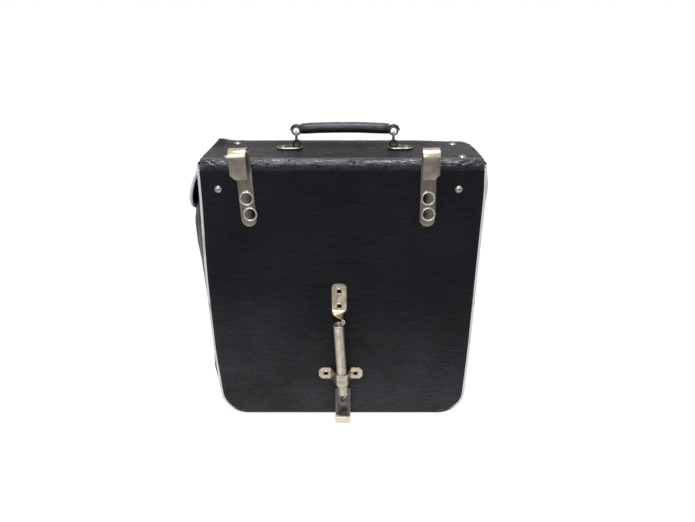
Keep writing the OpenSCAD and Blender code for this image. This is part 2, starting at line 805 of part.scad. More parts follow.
module spring_guide() {
    low = guide_z - guide_w / 2;
    color(nickel) difference() {
        intersection() {
            translate([guide_arch_x, 0, low]) linear_extrude(guide_w) guide_outline();
            sheet_y(3 * back_y, -2 * back_y) translate([guide_arch_x + guide_skew, guide_z])
                polygon([for (s = [[1, 1], [-1, 1], [-1, -1], [1, -1]])
                    each let (
                        flat = [s[0] * (guide_l / 2 - guide_cut), s[1] * guide_w / 2],
                        side = [s[0] * guide_l / 2, s[1] * (guide_w / 2 - guide_cut)])
                        s[0] == s[1] ? [side, flat] : [flat, side]]);
        }
        for (x = guide_rivet_x) on_back(x, guide_z, back_y + guide_t)
            cylinder(d = tube_d + hole_room, h = 3 * guide_t);
    }
}

module guide_rivets() {
    grip = guide_t + cover_t + back_board_t;
    color(nickel) for (x = guide_rivet_x)
        on_back(x, guide_z, back_y - guide_t) tube_rivet(grip);
}

// The spring's wire from the hook behind the strip, up the turns, to the hook in the anchor's tab.
// The path is upright here, with the lower end of the turns at the origin, and is leaned in place.
rings_per_turn = 8;
hook_end = 3;
hole_y = strip_y - tan(low_lean) * (low_hook_z - spring_foot_z + low_hole_drop);
behind = hole_y - spring_y + (spring_wire + run_room) / 2 + hook_end * tan(low_lean);
in_hole = hole_y - low_hook_t / 2 - spring_y;
low_end_x = low_hook_x - spring_foot_x - sin(spring_lean) * low_hole_drop;
low_hook_path = [
    [low_end_x, behind, hook_end - low_hole_drop],
    [low_end_x, behind, 1.2 - low_hole_drop],
    [low_end_x, behind - 0.3, -low_hole_drop],
    [low_end_x, in_hole, -0.6 - low_hole_drop],
    [low_end_x + 0.4, in_hole - 1.6, 0.2 - low_hole_drop],
    [low_end_x + 2.6, 0.55 * coil_r, 0.62 * -low_hole_drop],
    [0.8 * coil_r, 0.45 * coil_r, 0.26 * -low_hole_drop],
    [0.98 * coil_r, 0.2 * coil_r, 0.09 * -low_hole_drop]];
top_hook_path = [
    [coil_r + 0.1, -0.3 * coil_r, spring_l + 0.12 * top_hook_l],
    [coil_r + 1.1, -0.4 * coil_r, spring_l + 0.42 * top_hook_l],
    [coil_r + 1.8, -0.2 * coil_r, spring_l + 0.8 * top_hook_l],
    [coil_r + 1.2, 0, spring_l + top_hook_l],
    [coil_r, 0, spring_l + 1.1 * top_hook_l],
    [coil_r - 1.6, 0, spring_l + top_hook_l],
    [coil_r - 2.3, 0, spring_l + 0.7 * top_hook_l],
    [coil_r - 2.3, 0, spring_l + 0.4 * top_hook_l]];
coil_path = [for (i = [0 : spring_turns * rings_per_turn]) let (a = -360 * i / rings_per_turn)
    [coil_r * cos(a), coil_r * sin(a), spring_l * i / (spring_turns * rings_per_turn)]];
spring_path = concat(low_hook_path, coil_path, top_hook_path);

function unit(v) = v / norm(v);
function way_at(path, i) = unit(path[min(i + 1, len(path) - 1)] - path[max(i - 1, 0)]);
function squared_to(v, way) = unit(v - (v * way) * way);

// A side direction for each ring, carried along the path without turning about it
function side_ways(path, first) = [
    for (i = 0, side = squared_to(first, way_at(path, 0)); i < len(path);
         i = i + 1, side = i < len(path) ? squared_to(side, way_at(path, i)) : side) side];

// Least gap between a wire and the stretches of itself that lie more than half a turn away
function least_gap(path, wire) = min([
    for (i = [0 : len(path) - 1], j = [i + 6 : 1 : min(i + 2 * rings_per_turn, len(path) - 1)])
        norm(path[i] - path[j])]) - wire;

// One unbroken tube along a path
module wire_tube(path, d, ring_sides, first_side) {
    ways = [for (i = [0 : len(path) - 1]) way_at(path, i)];
    across = side_ways(path, first_side);
    points = [for (i = [0 : len(path) - 1], k = [0 : ring_sides - 1]) let (
        a = 360 * k / ring_sides)
        path[i] + d / 2 * (cos(a) * across[i] + sin(a) * cross(ways[i], across[i]))];
    last = (len(path) - 1) * ring_sides;
    walls = [for (i = [0 : len(path) - 2], k = [0 : ring_sides - 1]) let (
        a = i * ring_sides + k,
        b = i * ring_sides + (k + 1) % ring_sides)
        each [[a, a + ring_sides, b], [b, a + ring_sides, b + ring_sides]]];
    ends = [for (k = [1 : ring_sides - 2]) each [[0, k, k + 1], [last, last + k + 1, last + k]]];
    polyhedron(points, concat(walls, ends));
}

module tension_spring() {
    echo(spring_least_gap = least_gap(spring_path, spring_wire));
    color(nickel) translate([spring_foot_x, spring_y, spring_foot_z]) rotate([0, -spring_lean, 0])
        wire_tube(spring_path, spring_wire, 6, [1, 0, 0]);
}

// Seen from the side: a flat strip that leans out, with its foot bent up in front into a short lip
module tension_hook_outline() {
    outer_r = low_hook_r + low_hook_t;
    lowest = floor_room + 0.4;
    drop = (low_hook_z + outer_r * sin(low_lean) - lowest - outer_r) / cos(low_lean);
    translate([strip_y, low_hook_z]) rotate(-low_lean) {
        translate([-low_hook_t, -drop]) square([low_hook_t, drop]);
        translate([-outer_r, -drop]) {
            intersection() {
                difference() {
                    circle(outer_r);
                    circle(low_hook_r);
                }
                translate([-outer_r, -outer_r]) square([2 * outer_r, outer_r]);
            }
            translate([-outer_r, 0]) square([low_hook_t, low_lip]);
        }
    }
}

module tension_hook() {
    color(nickel) difference() {
        bar_x(low_hook_x - low_hook_w / 2, low_hook_w) tension_hook_outline();
        on_back(low_hook_x, spring_foot_z - low_hole_drop, strip_y + low_hook_t)
            cylinder(d = low_hole_d, h = 2 * low_hook_r);
    }
}

module lock_base() {
    on_front(0, lock_z, front_y) difference() {
        union() {
            linear_extrude(base_t) stadium(base_l, base_w);
            cylinder(d = boss_d, h = flap_y - front_y);
        }
        translate([0, 0, -base_t])
            cylinder(d = knob_shaft_d + hole_room, h = flap_y - front_y + 2 * base_t);
        for (e = sides) translate([e * lock_rivet_x, 0, -base_t])
            cylinder(d = lock_shank_d + hole_room, h = 3 * base_t);
    }
}

module left_lock_base() {
    color(nickel) translate([-lock_x, 0, 0]) lock_base();
}

module right_lock_base() {
    color(nickel) translate([lock_x, 0, 0]) lock_base();
}

module lock_base_rivets() {
    grip = base_t + cover_t + front_board_t;
    color(nickel) for (s = sides, e = sides)
        on_front(s * lock_x + e * lock_rivet_x, lock_z, front_y + base_t)
            dome_rivet(2 * lock_shank_d, 0.6, lock_shank_d, grip, 2.4 * lock_shank_d, washer_t);
}

// A bar with round ends on a shaft, held by a disc inside the front board. It lies along its slot.
module turn_knob() {
    disc_y = front_inner_y - run_room - knob_disc_t;
    on_front(0, lock_z, knob_y) linear_extrude(knob_t) stadium(knob_l, knob_w);
    on_front(0, lock_z, disc_y) cylinder(d = knob_shaft_d, h = knob_y - disc_y + seam_gap);
    on_front(0, lock_z, disc_y) cylinder(d = knob_disc_d, h = knob_disc_t);
}

module left_turn_knob() {
    color(nickel) translate([-lock_x, 0, 0]) turn_knob();
}

module right_turn_knob() {
    color(nickel) translate([lock_x, 0, 0]) turn_knob();
}

// A quarter turn of leatherette with a straight run at each end, about its hinge line
module fold_outline() {
    intersection() {
        difference() {
            circle(fold_r);
            circle(fold_r - cover_t);
        }
        translate([-fold_r, 0]) square(fold_r);
    }
    translate([-fold_r, -fold_land]) square([cover_t, fold_land]);
    translate([0, fold_r - cover_t]) square([fold_land, cover_t]);
}

module rear_fold() {
    color(leatherette) bar_x(-panel_w / 2, panel_w) translate([rear_hinge_y, hinge_z]) fold_outline();
}

module front_fold() {
    color(leatherette) bar_x(flap_inset - panel_w / 2, panel_w - 2 * flap_inset)
        translate([flap_hinge_y, hinge_z]) mirror([1, 0]) fold_outline();
}

// Places of the two chape rivets and of the four ear rivets on the lid
chape_rivet_x = [for (s = sides) handle_x + s * (link_span / 2 + chape_rivet_reach)];
ear_rivets = [for (s = sides, y = lid_rivet_y) [lid_rivet_shift + s * lid_rivet_x, y]];
lid_holes = concat(ear_rivets,
    [for (x = chape_rivet_x) [x, handle_y]]);

module drilled_lid() {
    difference() {
        children();
        for (p = lid_holes) translate([p[0], p[1], lid_under - ear_drop])
            cylinder(d = shank_d + hole_room, h = 2 * ear_drop);
    }
}

module lid_sheet(low, t) {
    depth = flap_hinge_y - rear_hinge_y - 2 * fold_land;
    translate([-panel_w / 2, rear_hinge_y + fold_land, low]) cube([panel_w, depth, t]);
}

module lid_cover() {
    color(leatherette) drilled_lid() lid_sheet(lid_top - cover_t, cover_t);
}

module lid_board() {
    color(board_brown) drilled_lid() lid_sheet(lid_under, lid_board_t);
}

// How far the outer face of an ear's wall stands out at a height
function ear_wall_x(z, bow) = ear_x + bow * sin(ear_bow_arc * (ear_wall_top - z) / (ear_wall_top - ear_low));

// How far an outline with round lower corners draws in from its sides at a height
function drawn_in(z, low, r) = z >= low + r ? 0 : r - sqrt(max(r * r - pow(low + r - z, 2), 0));

// Rows of an ear from its flange under the lid down to its lower edge: place, height and outward way
ear_bend_steps = 4;
ear_wall_steps = 14;
function ear_rows(bow) = concat(
    [[panel_w / 2 - ear_flange, lid_under, 0, 1]],
    [for (i = [0 : ear_bend_steps]) let (a = 90 - 90 * i / ear_bend_steps)
        [ear_x - ear_bend_r + ear_bend_r * cos(a), ear_wall_top + ear_bend_r * sin(a), cos(a), sin(a)]],
    [for (i = [1 : ear_wall_steps]) let (z = ear_wall_top - (ear_wall_top - ear_low) * i / ear_wall_steps)
        [ear_wall_x(z, bow), z, 1, 0]]);

function ear_points(bow, inward) = [
    for (r = ear_rows(bow), j = [0 : across_steps]) let (cut = drawn_in(r[1], ear_low, ear_corner_r))
        [r[0] - r[2] * inward,
         ear_y[0] + cut + (ear_y[1] - ear_y[0] - 2 * cut) * j / across_steps,
         r[1] - r[3] * inward]];

// A soft flap that hangs outside the gusset, with a flange riveted under the lid
module lid_ear(bow) {
    grid_solid(ear_points(bow, ear_t), ear_points(bow, 0), len(ear_rows(bow)));
}

module left_lid_ear() {
    color(leatherette) drilled_lid() mirror([1, 0, 0]) lid_ear(left_ear_bow);
}

module right_lid_ear() {
    color(leatherette) drilled_lid() lid_ear(right_ear_bow);
}

// Piping round an ear's free edge, down its rear side, along the bottom and up its front side
module ear_piping(bow) {
    out = ear_piping_d / 2 + seam_gap;
    r = ear_corner_r + out;
    low = ear_low - out;
    steps = 8;
    corner = [for (i = [0 : steps]) let (a = 90 * i / steps) [r - r * cos(a), low + r - r * sin(a)]];
    rear = concat([[0, ear_wall_top]], corner);
    round_edge = concat(
        [for (p = rear) [ear_y[0] - out + p[0], p[1]]],
        [for (i = [len(rear) - 1 : -1 : 0]) [ear_y[1] + out - rear[i][0], rear[i][1]]]);
    wire_tube([for (p = round_edge) [ear_wall_x(p[1], bow) - ear_t + ear_piping_d / 2, p[0], p[1]]],
        ear_piping_d, 10, [1, 0, 0]);
}

module left_ear_piping() {
    color(piping_white) mirror([1, 0, 0]) ear_piping(left_ear_bow);
}

module right_ear_piping() {
    color(piping_white) ear_piping(right_ear_bow);
}

module lid_rivets() {
    grip = lid_top - lid_under + ear_t + washer_t;
    color(nickel) for (p = ear_rivets) translate([p[0], p[1], lid_top])
        dome_rivet(dome_d, dome_h, shank_d, grip, shank_d + 3, washer_t);
}

module lid_washers() {
    color(nickel) for (p = ear_rivets)
        translate([p[0], p[1], lid_under - ear_t - washer_t]) washer(shank_d);
}

// A ring of round wire that stands across the bag
module wire_eye(r, wire) {
    rotate([90, 0, 0]) rotate_extrude() translate([r, 0]) circle(d = wire);
}

// An oval plate that reaches outwards from an upright eye, built for the right-hand end
module chape() {
    eye_overhang = chape_eye_r + chape_eye_wire;
    difference() {
        union() {
            translate([chape_l / 2 - eye_overhang, 0, lid_top])
                linear_extrude(chape_t) stadium(chape_l, chape_w);
            translate([0, 0, chape_eye_z]) wire_eye(chape_eye_r, chape_eye_wire);
        }
        translate([chape_rivet_reach, 0, lid_top - chape_t])
            cylinder(d = shank_d + hole_room, h = 3 * chape_t);
    }
}

module left_chape() {
    color(nickel) translate([handle_x - link_span / 2, handle_y, 0]) mirror([1, 0, 0]) chape();
}

module right_chape() {
    color(nickel) translate([handle_x + link_span / 2, handle_y, 0]) chape();
}

module chape_rivets() {
    grip = chape_t + lid_top - lid_under + washer_t;
    color(nickel) for (x = chape_rivet_x) translate([x, handle_y, lid_top + chape_t])
        dome_rivet(dome_d, dome_h, shank_d, grip, shank_d + 3, washer_t);
}

module chape_washers() {
    color(nickel) for (x = chape_rivet_x)
        translate([x, handle_y, lid_under - washer_t]) washer(shank_d);
}

// A long ring that stands along the bag's depth and joins a chape's eye to the grip's eye
module link() {
    straight = link_high_z - link_low_z - 2 * link_r;
    translate([0, handle_y, link_low_z + link_r]) {
        for (s = sides) translate([0, s * link_r, 0]) cylinder(d = link_wire, h = straight);
        rotate([0, 90, 0]) rotate_extrude(angle = 180, start = -90)
            translate([link_r, 0]) circle(d = link_wire);
        translate([0, 0, straight]) rotate([0, 90, 0]) rotate_extrude(angle = 180, start = 90)
            translate([link_r, 0]) circle(d = link_wire);
    }
}

module left_link() {
    color(nickel) translate([handle_x - link_span / 2, 0, 0]) link();
}

module right_link() {
    color(nickel) translate([handle_x + link_span / 2, 0, 0]) link();
}

// A round bar along the grip's arch, from -half to half across the bag
module arched_bar(half, d) {
    reach = asin(half / arch_r);
    translate([handle_x, handle_y, grip_eye_z + grip_lift + grip_arch - arch_r]) rotate([90, 0, 0])
        rotate_extrude(angle = 2 * reach, start = 90 - reach) translate([arch_r, 0]) circle(d = d);
}

module handle_core() {
    color(nickel) {
        arched_bar(core_half, core_d);
        for (s = sides) translate([handle_x + s * link_span / 2, handle_y, grip_eye_z])
            wire_eye(grip_eye_r, grip_eye_wire);
    }
}

module grip_cover() {
    color(leatherette) difference() {
        arched_bar(grip_half, grip_d);
        arched_bar(grip_half + 1, core_d + hole_room);
    }
}

// The flap is cut out for the eyelets' collars
module flap_sheet(y0, t) {
    difference() {
        sheet_y(y0, t) panel_outline(panel_w - 2 * flap_inset, flap_low, panel_top, flap_corner_r);
        for (s = sides) on_front(s * lock_x, lock_z, y0 - t) linear_extrude(3 * t)
            stadium(slot_l + 2 * collar_t + hole_room, slot_w + 2 * collar_t + hole_room);
    }
}

module flap_cover() {
    color(leatherette) flap_sheet(flap_y - cover_t, cover_t);
}

module flap_board() {
    color(board_brown) flap_sheet(flap_inner_y, flap_board_t);
}

module flap_piping() {
    color(piping_white) piping(panel_w - 2 * flap_inset, flap_low, panel_top, flap_corner_r,
        (flap_y + flap_inner_y) / 2, flap_piping_d);
}

module lock_eyelet() {
    through = flap_y - flap_inner_y + clinch_t;
    on_front(0, lock_z, flap_y) difference() {
        union() {
            linear_extrude(eyelet_t) stadium(slot_l + 2 * eyelet_rim, slot_w + 2 * eyelet_rim);
            translate([0, 0, -through]) linear_extrude(through + seam_gap)
                stadium(slot_l + 2 * collar_t, slot_w + 2 * collar_t);
        }
        translate([0, 0, -2 * through]) linear_extrude(4 * through) stadium(slot_l, slot_w);
    }
}

module left_lock_eyelet() {
    color(nickel) translate([-lock_x, 0, 0]) lock_eyelet();
}

module right_lock_eyelet() {
    color(nickel) translate([lock_x, 0, 0]) lock_eyelet();
}

module eyelet_rings() {
    color(nickel) for (s = sides) on_front(s * lock_x, lock_z, flap_inner_y - clinch_t)
        linear_extrude(clinch_t) difference() {
            stadium(slot_l + 2 * eyelet_rim - 2, slot_w + 2 * eyelet_rim - 2);
            stadium(slot_l + 2 * collar_t + hole_room, slot_w + 2 * collar_t + hole_room);
        }
}

back_cover();
back_board();
front_cover();
front_board();
left_gusset();
right_gusset();
bottom_panel();
bottom_board();
back_piping();
front_piping();
left_rack_hook();
right_rack_hook();
hook_rivets();
hook_backing_plates();
corner_rivets();
corner_washers();
spring_anchor();
anchor_rivets();
spring_guide();
guide_rivets();
tension_spring();
tension_hook();
left_lock_base();
right_lock_base();
lock_base_rivets();
left_turn_knob();
right_turn_knob();
rear_fold();
lid_cover();
lid_board();
left_lid_ear();
right_lid_ear();
left_ear_piping();
right_ear_piping();
lid_rivets();
lid_washers();
left_chape();
right_chape();
chape_rivets();
chape_washers();
front_fold();
flap_cover();
flap_board();
flap_piping();
left_lock_eyelet();
right_lock_eyelet();
eyelet_rings();
left_link();
right_link();
handle_core();
grip_cover();
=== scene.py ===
from math import asin, copysign, cos, exp, hypot, pi, radians, sin, sqrt

import bmesh
import bpy
from mathutils import Matrix, Vector, noise


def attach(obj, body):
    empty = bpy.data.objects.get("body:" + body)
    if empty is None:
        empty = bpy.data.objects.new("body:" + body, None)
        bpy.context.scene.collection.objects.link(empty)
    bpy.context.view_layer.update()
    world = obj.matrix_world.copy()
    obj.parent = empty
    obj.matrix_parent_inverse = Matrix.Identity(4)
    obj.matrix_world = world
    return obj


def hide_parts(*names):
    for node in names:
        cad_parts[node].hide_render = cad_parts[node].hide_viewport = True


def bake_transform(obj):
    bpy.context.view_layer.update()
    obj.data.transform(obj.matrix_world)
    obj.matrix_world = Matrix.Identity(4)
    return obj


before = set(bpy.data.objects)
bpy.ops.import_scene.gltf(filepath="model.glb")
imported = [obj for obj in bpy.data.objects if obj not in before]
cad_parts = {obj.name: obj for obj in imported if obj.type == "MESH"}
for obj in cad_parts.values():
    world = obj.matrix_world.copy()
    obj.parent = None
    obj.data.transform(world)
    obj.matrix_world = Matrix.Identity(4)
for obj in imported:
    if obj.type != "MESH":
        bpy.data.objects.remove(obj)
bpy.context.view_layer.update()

# Studio: the bag stands on a white sheet under a broad soft light from above, with a weaker one
# from the camera's side. The sheet ends just short of the camera, which looks down at the bag's back.
scene = bpy.context.scene
scene.view_settings.view_transform = "Standard"


def fill(tree, node, values):
    """Set a node's inputs, with a link where the value is another node's output."""
    for socket, value in values.items():
        if isinstance(value, bpy.types.NodeSocket):
            tree.links.new(value, node.inputs[socket])
        else:
            node.inputs[socket].default_value = value


def add_node(tree, kind, values=None, **settings):
    node = tree.nodes.new(kind)
    for key, value in settings.items():
        setattr(node, key, value)
    fill(tree, node, values or {})
    return node


def mapped(value, low, high, start=0.0, end=1.0):
    """Runs from start to end while the value runs from low to high."""
    values = {0: value, 1: low, 2: high, 3: start, 4: end}
    return add_node(value.id_data, "ShaderNodeMapRange", values).outputs[0]


def worked_out(operation, *values):
    tree = values[0].id_data
    return add_node(tree, "ShaderNodeMath", dict(enumerate(values)), operation=operation).outputs[0]


def product(first, second):
    return worked_out("MULTIPLY", first, second)


def mixed(share, first, second):
    """The first colour where share is 0, the second where it is 1."""
    values = {0: share, 6: first, 7: second}
    return add_node(share.id_data, "ShaderNodeMix", values, data_type="RGBA").outputs[2]


def object_place(tree):
    return add_node(tree, "ShaderNodeTexCoord").outputs["Object"]


def apart(place):
    return add_node(place.id_data, "ShaderNodeSeparateXYZ", {0: place}).outputs


def link_object(name, data):
    thing = bpy.data.objects.new(name, data)
    scene.collection.objects.link(thing)
    return thing


sensor_w, focal_pixels, picture_pixels, looking_down = 36, 557, 695, 24.2
camera = link_object("camera", bpy.data.cameras.new("camera"))
camera.data.sensor_width = sensor_w
camera.data.lens = sensor_w * focal_pixels / picture_pixels
camera.location = (0.006, -0.643, 0.489)
camera.rotation_euler = (radians(90 - looking_down), 0, 0)
scene.camera = camera


def soft_light(name, place, aim, size, watts):
    lamp = bpy.data.lights.new(name, "AREA")
    lamp.shape = "DISK"
    lamp.size = size
    lamp.energy = watts
    light = link_object(name, lamp)
    light.location = place
    light.rotation_euler = (Vector(aim) - Vector(place)).to_track_quat("-Z", "Y").to_euler()


soft_light("top_light", (0.05, -0.3, 1.75), (0, -0.05, 0.3), 0.8, 26)
soft_light("front_light", (-0.6, -1.7, 1.2), (0, 0, 0.15), 1.2, 14)


def seen_white(tree, mirrored=1.0):
    """1 for what the camera sees directly, and the share mirrored for what the metal reflects."""
    path = add_node(tree, "ShaderNodeLightPath").outputs
    glossy = product(path["Is Glossy Ray"], mirrored)
    either = worked_out("MAXIMUM", path["Is Camera Ray"], glossy)
    return worked_out("MAXIMUM", either, path["Is Transmission Ray"])


world = bpy.data.worlds.new("white_room")
scene.world = world
world.use_nodes = True
sky = world.node_tree
sky_tone = mixed(seen_white(sky), (0.55, 0.55, 0.56, 1), (1, 1, 1, 1))
fill(sky, sky.nodes["Background"], {"Color": sky_tone})


def new_material(name):
    material = bpy.data.materials.new(name)
    material.use_nodes = True
    tree = material.node_tree
    return material, tree, tree.nodes["Principled BSDF"]


sheet_ends, sheet_full = -0.55, -0.40
floor_mesh = bpy.data.meshes.new("floor")
floor_mesh.from_pydata([(-6, -6, 0), (6, -6, 0), (6, 6, 0), (-6, 6, 0)], [], [(0, 1, 2, 3)])
floor = link_object("floor", floor_mesh)
floor_paint, floor_tree, floor_plain = new_material("white_floor")
floor_tree.nodes.remove(floor_plain)
on_sheet = mapped(apart(object_place(floor_tree))[1], sheet_ends, sheet_full)
floor_tone = mixed(on_sheet, (0.20, 0.20, 0.20, 1), (0.86, 0.85, 0.82, 1))
floor_diffuse = add_node(floor_tree, "ShaderNodeBsdfDiffuse", {"Color": floor_tone})
floor_glow = add_node(floor_tree, "ShaderNodeEmission", {"Color": (1, 1, 1, 1), "Strength": 1.12})
floor_share = product(seen_white(floor_tree, on_sheet), 0.82)
floor_mix = add_node(floor_tree, "ShaderNodeMixShader",
                     {0: floor_share, 1: floor_diffuse.outputs[0], 2: floor_glow.outputs[0]})
fill(floor_tree, floor_tree.nodes["Material Output"], {"Surface": floor_mix.outputs[0]})
floor_mesh.materials.append(floor_paint)

# Boards: brown fibreboard stiffens the back, front, bottom, lid and flap. The boards are cut flat,
# and the lid's side edges are inked black. Only the inside of the open bag shows the brown.
MM = 0.001


def stretched(place, scale):
    values = {0: place, 1: scale}
    return add_node(place.id_data, "ShaderNodeVectorMath", values, operation="MULTIPLY").outputs[0]


def cloudy(place, scale, detail, roughness=0.5, distortion=0.0):
    noisy = add_node(place.id_data, "ShaderNodeTexNoise", {
        "Vector": place, "Scale": scale, "Detail": detail, "Roughness": roughness, "Distortion": distortion})
    return noisy.outputs[0]


def raised(height, strength, depth):
    values = {"Height": height, "Strength": strength, "Distance": depth}
    return add_node(height.id_data, "ShaderNodeBump", values).outputs[0]


def repaint(node_names, material):
    for node_name in node_names:
        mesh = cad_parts[node_name].data
        mesh.materials.clear()
        mesh.materials.append(material)


ink_starts, ink_full = 0.1505, 0.1515
fibreboard, board_tree, board_shade = new_material("fibreboard")
board_place = object_place(board_tree)
fibre = cloudy(stretched(board_place, (300, 300, 60)), 1.0, 6.0)
board_brown = mixed(fibre, (0.13, 0.085, 0.05, 1), (0.30, 0.21, 0.13, 1))
board_out = worked_out("ABSOLUTE", apart(board_place)[0])
board_inked = mapped(board_out, ink_starts, ink_full)
board_colour = mixed(board_inked, board_brown, (0.008, 0.008, 0.009, 1))
fill(board_tree, board_shade, {"Base Color": board_colour, "Roughness": 0.85,
                               "Normal": raised(fibre, 0.2, 0.0004)})
repaint(("back_board", "front_board", "bottom_board", "lid_board", "flap_board"), fibreboard)

# Back panel: black leatherette glued over the back board. Its embossed grain runs across the
# bag in fine broken streaks, and its edges turn in at the piping.
panel_w, corner_r, panel_low = 310.0, 30.0, 3.95
back_y, panel_top, panel_t = -50.0, 331.0, 1.1


def smooth_step(t):
    t = min(max(t, 0.0), 1.0)
    return t * t * (3 - 2 * t)


def make_mesh(name, points, faces, edges=()):
    mesh = bpy.data.meshes.new(name)
    mesh.from_pydata([(x * MM, y * MM, z * MM) for x, y, z in points], edges, faces)
    mesh.update()
    return mesh


def make_piece(name, mesh, material, sharp=None):
    mesh.materials.clear()
    mesh.materials.append(material)
    mesh.shade_smooth()
    if sharp:
        mesh.set_sharp_from_angle(angle=radians(sharp))
    return link_object(name, mesh)


def grid_faces(rows, columns, flip=False):
    faces = []
    for i in range(rows - 1):
        for j in range(columns - 1):
            a = i * columns + j
            quad = (a, a + 1, a + columns + 1, a + columns)
            faces.append(quad[::-1] if flip else quad)
    return faces


def with_modifiers(piece):
    settled = bpy.data.meshes.new_from_object(piece.evaluated_get(bpy.context.evaluated_depsgraph_get()))
    piece.modifiers.clear()
    piece.data = settled


def thickened(piece, thickness):
    wall = piece.modifiers.new("wall", "SOLIDIFY")
    wall.thickness = thickness * MM
    wall.offset = -1
    wall.use_even_offset = False
    with_modifiers(piece)
    piece.data.set_sharp_from_angle(angle=radians(60))


def make_sheet(name, form, material, thickness):
    piece = make_piece(name, make_mesh(name, *form), material)
    thickened(piece, thickness)
    return piece


def belongs(piece, body, slot, *nodes):
    """Fix a piece to its body, in place of the solids that it stands for. The slot is not used."""
    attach(piece, body)
    if nodes:
        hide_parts(*nodes)


def edge_bow(x, z):
    """How far a filled bag pushes its panels' long edges out, more on the left than on the right."""
    near_top = smooth_step((panel_top - z) / 150)
    if x < 0:
        return -4.2 * near_top * smooth_step((z - panel_low) / 110)
    return 1.5 * smooth_step((panel_top - z) / 30) * smooth_step((z - 20) / 90)


def panel_form(w, low, top, r, face, inward, rows=72, columns=64, soft=0.35, bowed=1.0):
    points = []
    for i in range(rows):
        t = i / (rows - 1)
        z = low + (top - low) * (0.55 * t + 0.45 * t * t)
        half = w / 2 if z >= low + r else w / 2 - r + sqrt(max(r * r - (low + r - z) ** 2, 0))
        for j in range(columns):
            s = 2 * j / (columns - 1) - 1
            s = copysign(1 - (1 - abs(s)) ** 1.25, s)
            x = s * half
            if z < low + r and abs(x) > w / 2 - r:
                edge = r - hypot(abs(x) - w / 2 + r, low + r - z)
            else:
                edge = min(half - abs(x), z - low)
            turned = max(0.0, 1 - edge / 3.2) ** 2 * 1.15
            wave = soft * noise.noise(Vector((x / 70, face, z / 55))) * min(1, edge / 20, max(0, top - z) / 25)
            x += bowed * edge_bow(x, z) * abs(s) ** 3
            points.append((x, face + inward * turned + wave, z))
    return points, grid_faces(rows, columns, flip=inward < 0)


def new_group(name, kind, takes, gives):
    group = bpy.data.node_groups.new(name, kind)
    for way, sockets in (("INPUT", takes), ("OUTPUT", gives)):
        for socket, sort in sockets.items():
            group.interface.new_socket(socket, in_out=way, socket_type="NodeSocket" + sort)
    return group, add_node(group, "NodeGroupInput").outputs, add_node(group, "NodeGroupOutput")


def between(share, first, second):
    values = {0: share, 2: first, 3: second}
    return add_node(first.id_data, "ShaderNodeMix", values, data_type="FLOAT").outputs[0]


def leather_group():
    group, inside, out = new_group(
        "leather_grain", "ShaderNodeTree", {"Place": "Vector", "Streaks": "Vector", "Pebbles": "Float"},
        {"Height": "Float", "Fading": "Float", "Rubbing": "Float"})
    streak = cloudy(stretched(inside["Place"], inside["Streaks"]), 1.0, 5.0, 0.6, 1.2)
    pebble = add_node(group, "ShaderNodeTexVoronoi", {"Vector": inside["Place"], "Scale": inside["Pebbles"]},
                      feature="DISTANCE_TO_EDGE")
    crease = mapped(pebble.outputs["Distance"], 0.0, 0.12)
    patch = cloudy(inside["Place"], 9.0, 3.0)
    fill(group, out, {"Height": between(0.3, streak, crease), "Fading": mapped(patch, 0.35, 0.7),
                      "Rubbing": mapped(streak, 0.56, 0.74)})
    return group


leather_grain = leather_group()


def leather(name, dark, pale, streaks, pebbles, rough, deep, gloss, floor_bounce=0.0, crown=None, middle_shade=1.0):
    """Leatherette. Its foot can be lightened with painted light reflected from the floor, crown is (roughness,
    gloss) on a bend, and its middle can keep only a share of its gloss as painted shade.
    """
    material, tree, shade = new_material(name)
    place = object_place(tree)
    x, y, z = apart(place)
    grain = add_node(tree, "ShaderNodeGroup", {"Place": place, "Streaks": streaks, "Pebbles": pebbles},
                     node_tree=leather_grain).outputs
    height, fading = grain["Height"], grain["Fading"]
    rubbed = product(grain["Rubbing"], 0.2)
    light = tuple(min(1, 4 * c) for c in pale[:3]) + (1,)
    colour = mixed(rubbed, mixed(fading, dark, pale), light)
    # Painted light: towards the bottom the colour turns to a lighter grey, unevenly with the grain and more on
    # the left, standing for the white floor's reflected light.
    if floor_bounce:
        uneven = product(mapped(height, 0.34, 0.6, 0.0, 1.8), mapped(fading, 0.0, 1.0, 0.55, 1.3))
        bounce_reach = product(mapped(z, 0.0, 0.19, floor_bounce, 0.0), mapped(x, -0.155, 0.155, 1.15, 0.6))
        colour = mixed(product(bounce_reach, uneven), colour, (0.11, 0.11, 0.12, 1))
    roughness = mapped(height, 0.2, 0.8, rough + 0.1, rough - 0.06)
    sheen = mapped(height, 0.3, 0.65, 0.3 * gloss, 1.7 * gloss)
    # Painted shade: across the middle the gloss falls to a share, where the handle shades the lid.
    if middle_shade < 1:
        share = mapped(worked_out("ABSOLUTE", x), 0.03, 0.13, middle_shade, 1.0)
        sheen = product(sheen, share)
    if crown:
        crown_rough, crown_gloss = crown
        on_edge = mapped(worked_out("ABSOLUTE", y), 0.0385, 0.0425)
        bent = product(mapped(z, 0.3315, 0.3385), on_edge)
        roughness = between(bent, roughness, crown_rough)
        bright = mapped(height, 0.36, 0.6, 0.04 * crown_gloss, 2.0 * crown_gloss)
        sheen = between(bent, sheen, bright)
    fill(tree, shade, {"Base Color": colour, "Roughness": roughness, "Specular IOR Level": sheen,
                       "Specular Tint": (0.84, 0.87, 1.0, 1), "Normal": raised(height, deep, 0.0006)})
    return material


# The panel's foot is painted lighter, as light reflected from the white floor.
panel_leather = leather("panel_leatherette", (0.0045, 0.0045, 0.006, 1), (0.009, 0.009, 0.0115, 1),
                        (45, 45, 650), 620, 0.44, 1.0, gloss=0.08, floor_bounce=0.195)
back_form = panel_form(panel_w, panel_low, panel_top, corner_r, back_y, 1)
back_panel = make_sheet("back_panel", back_form, panel_leather, panel_t)
belongs(back_panel, "bag", "leatherette", "back_cover")

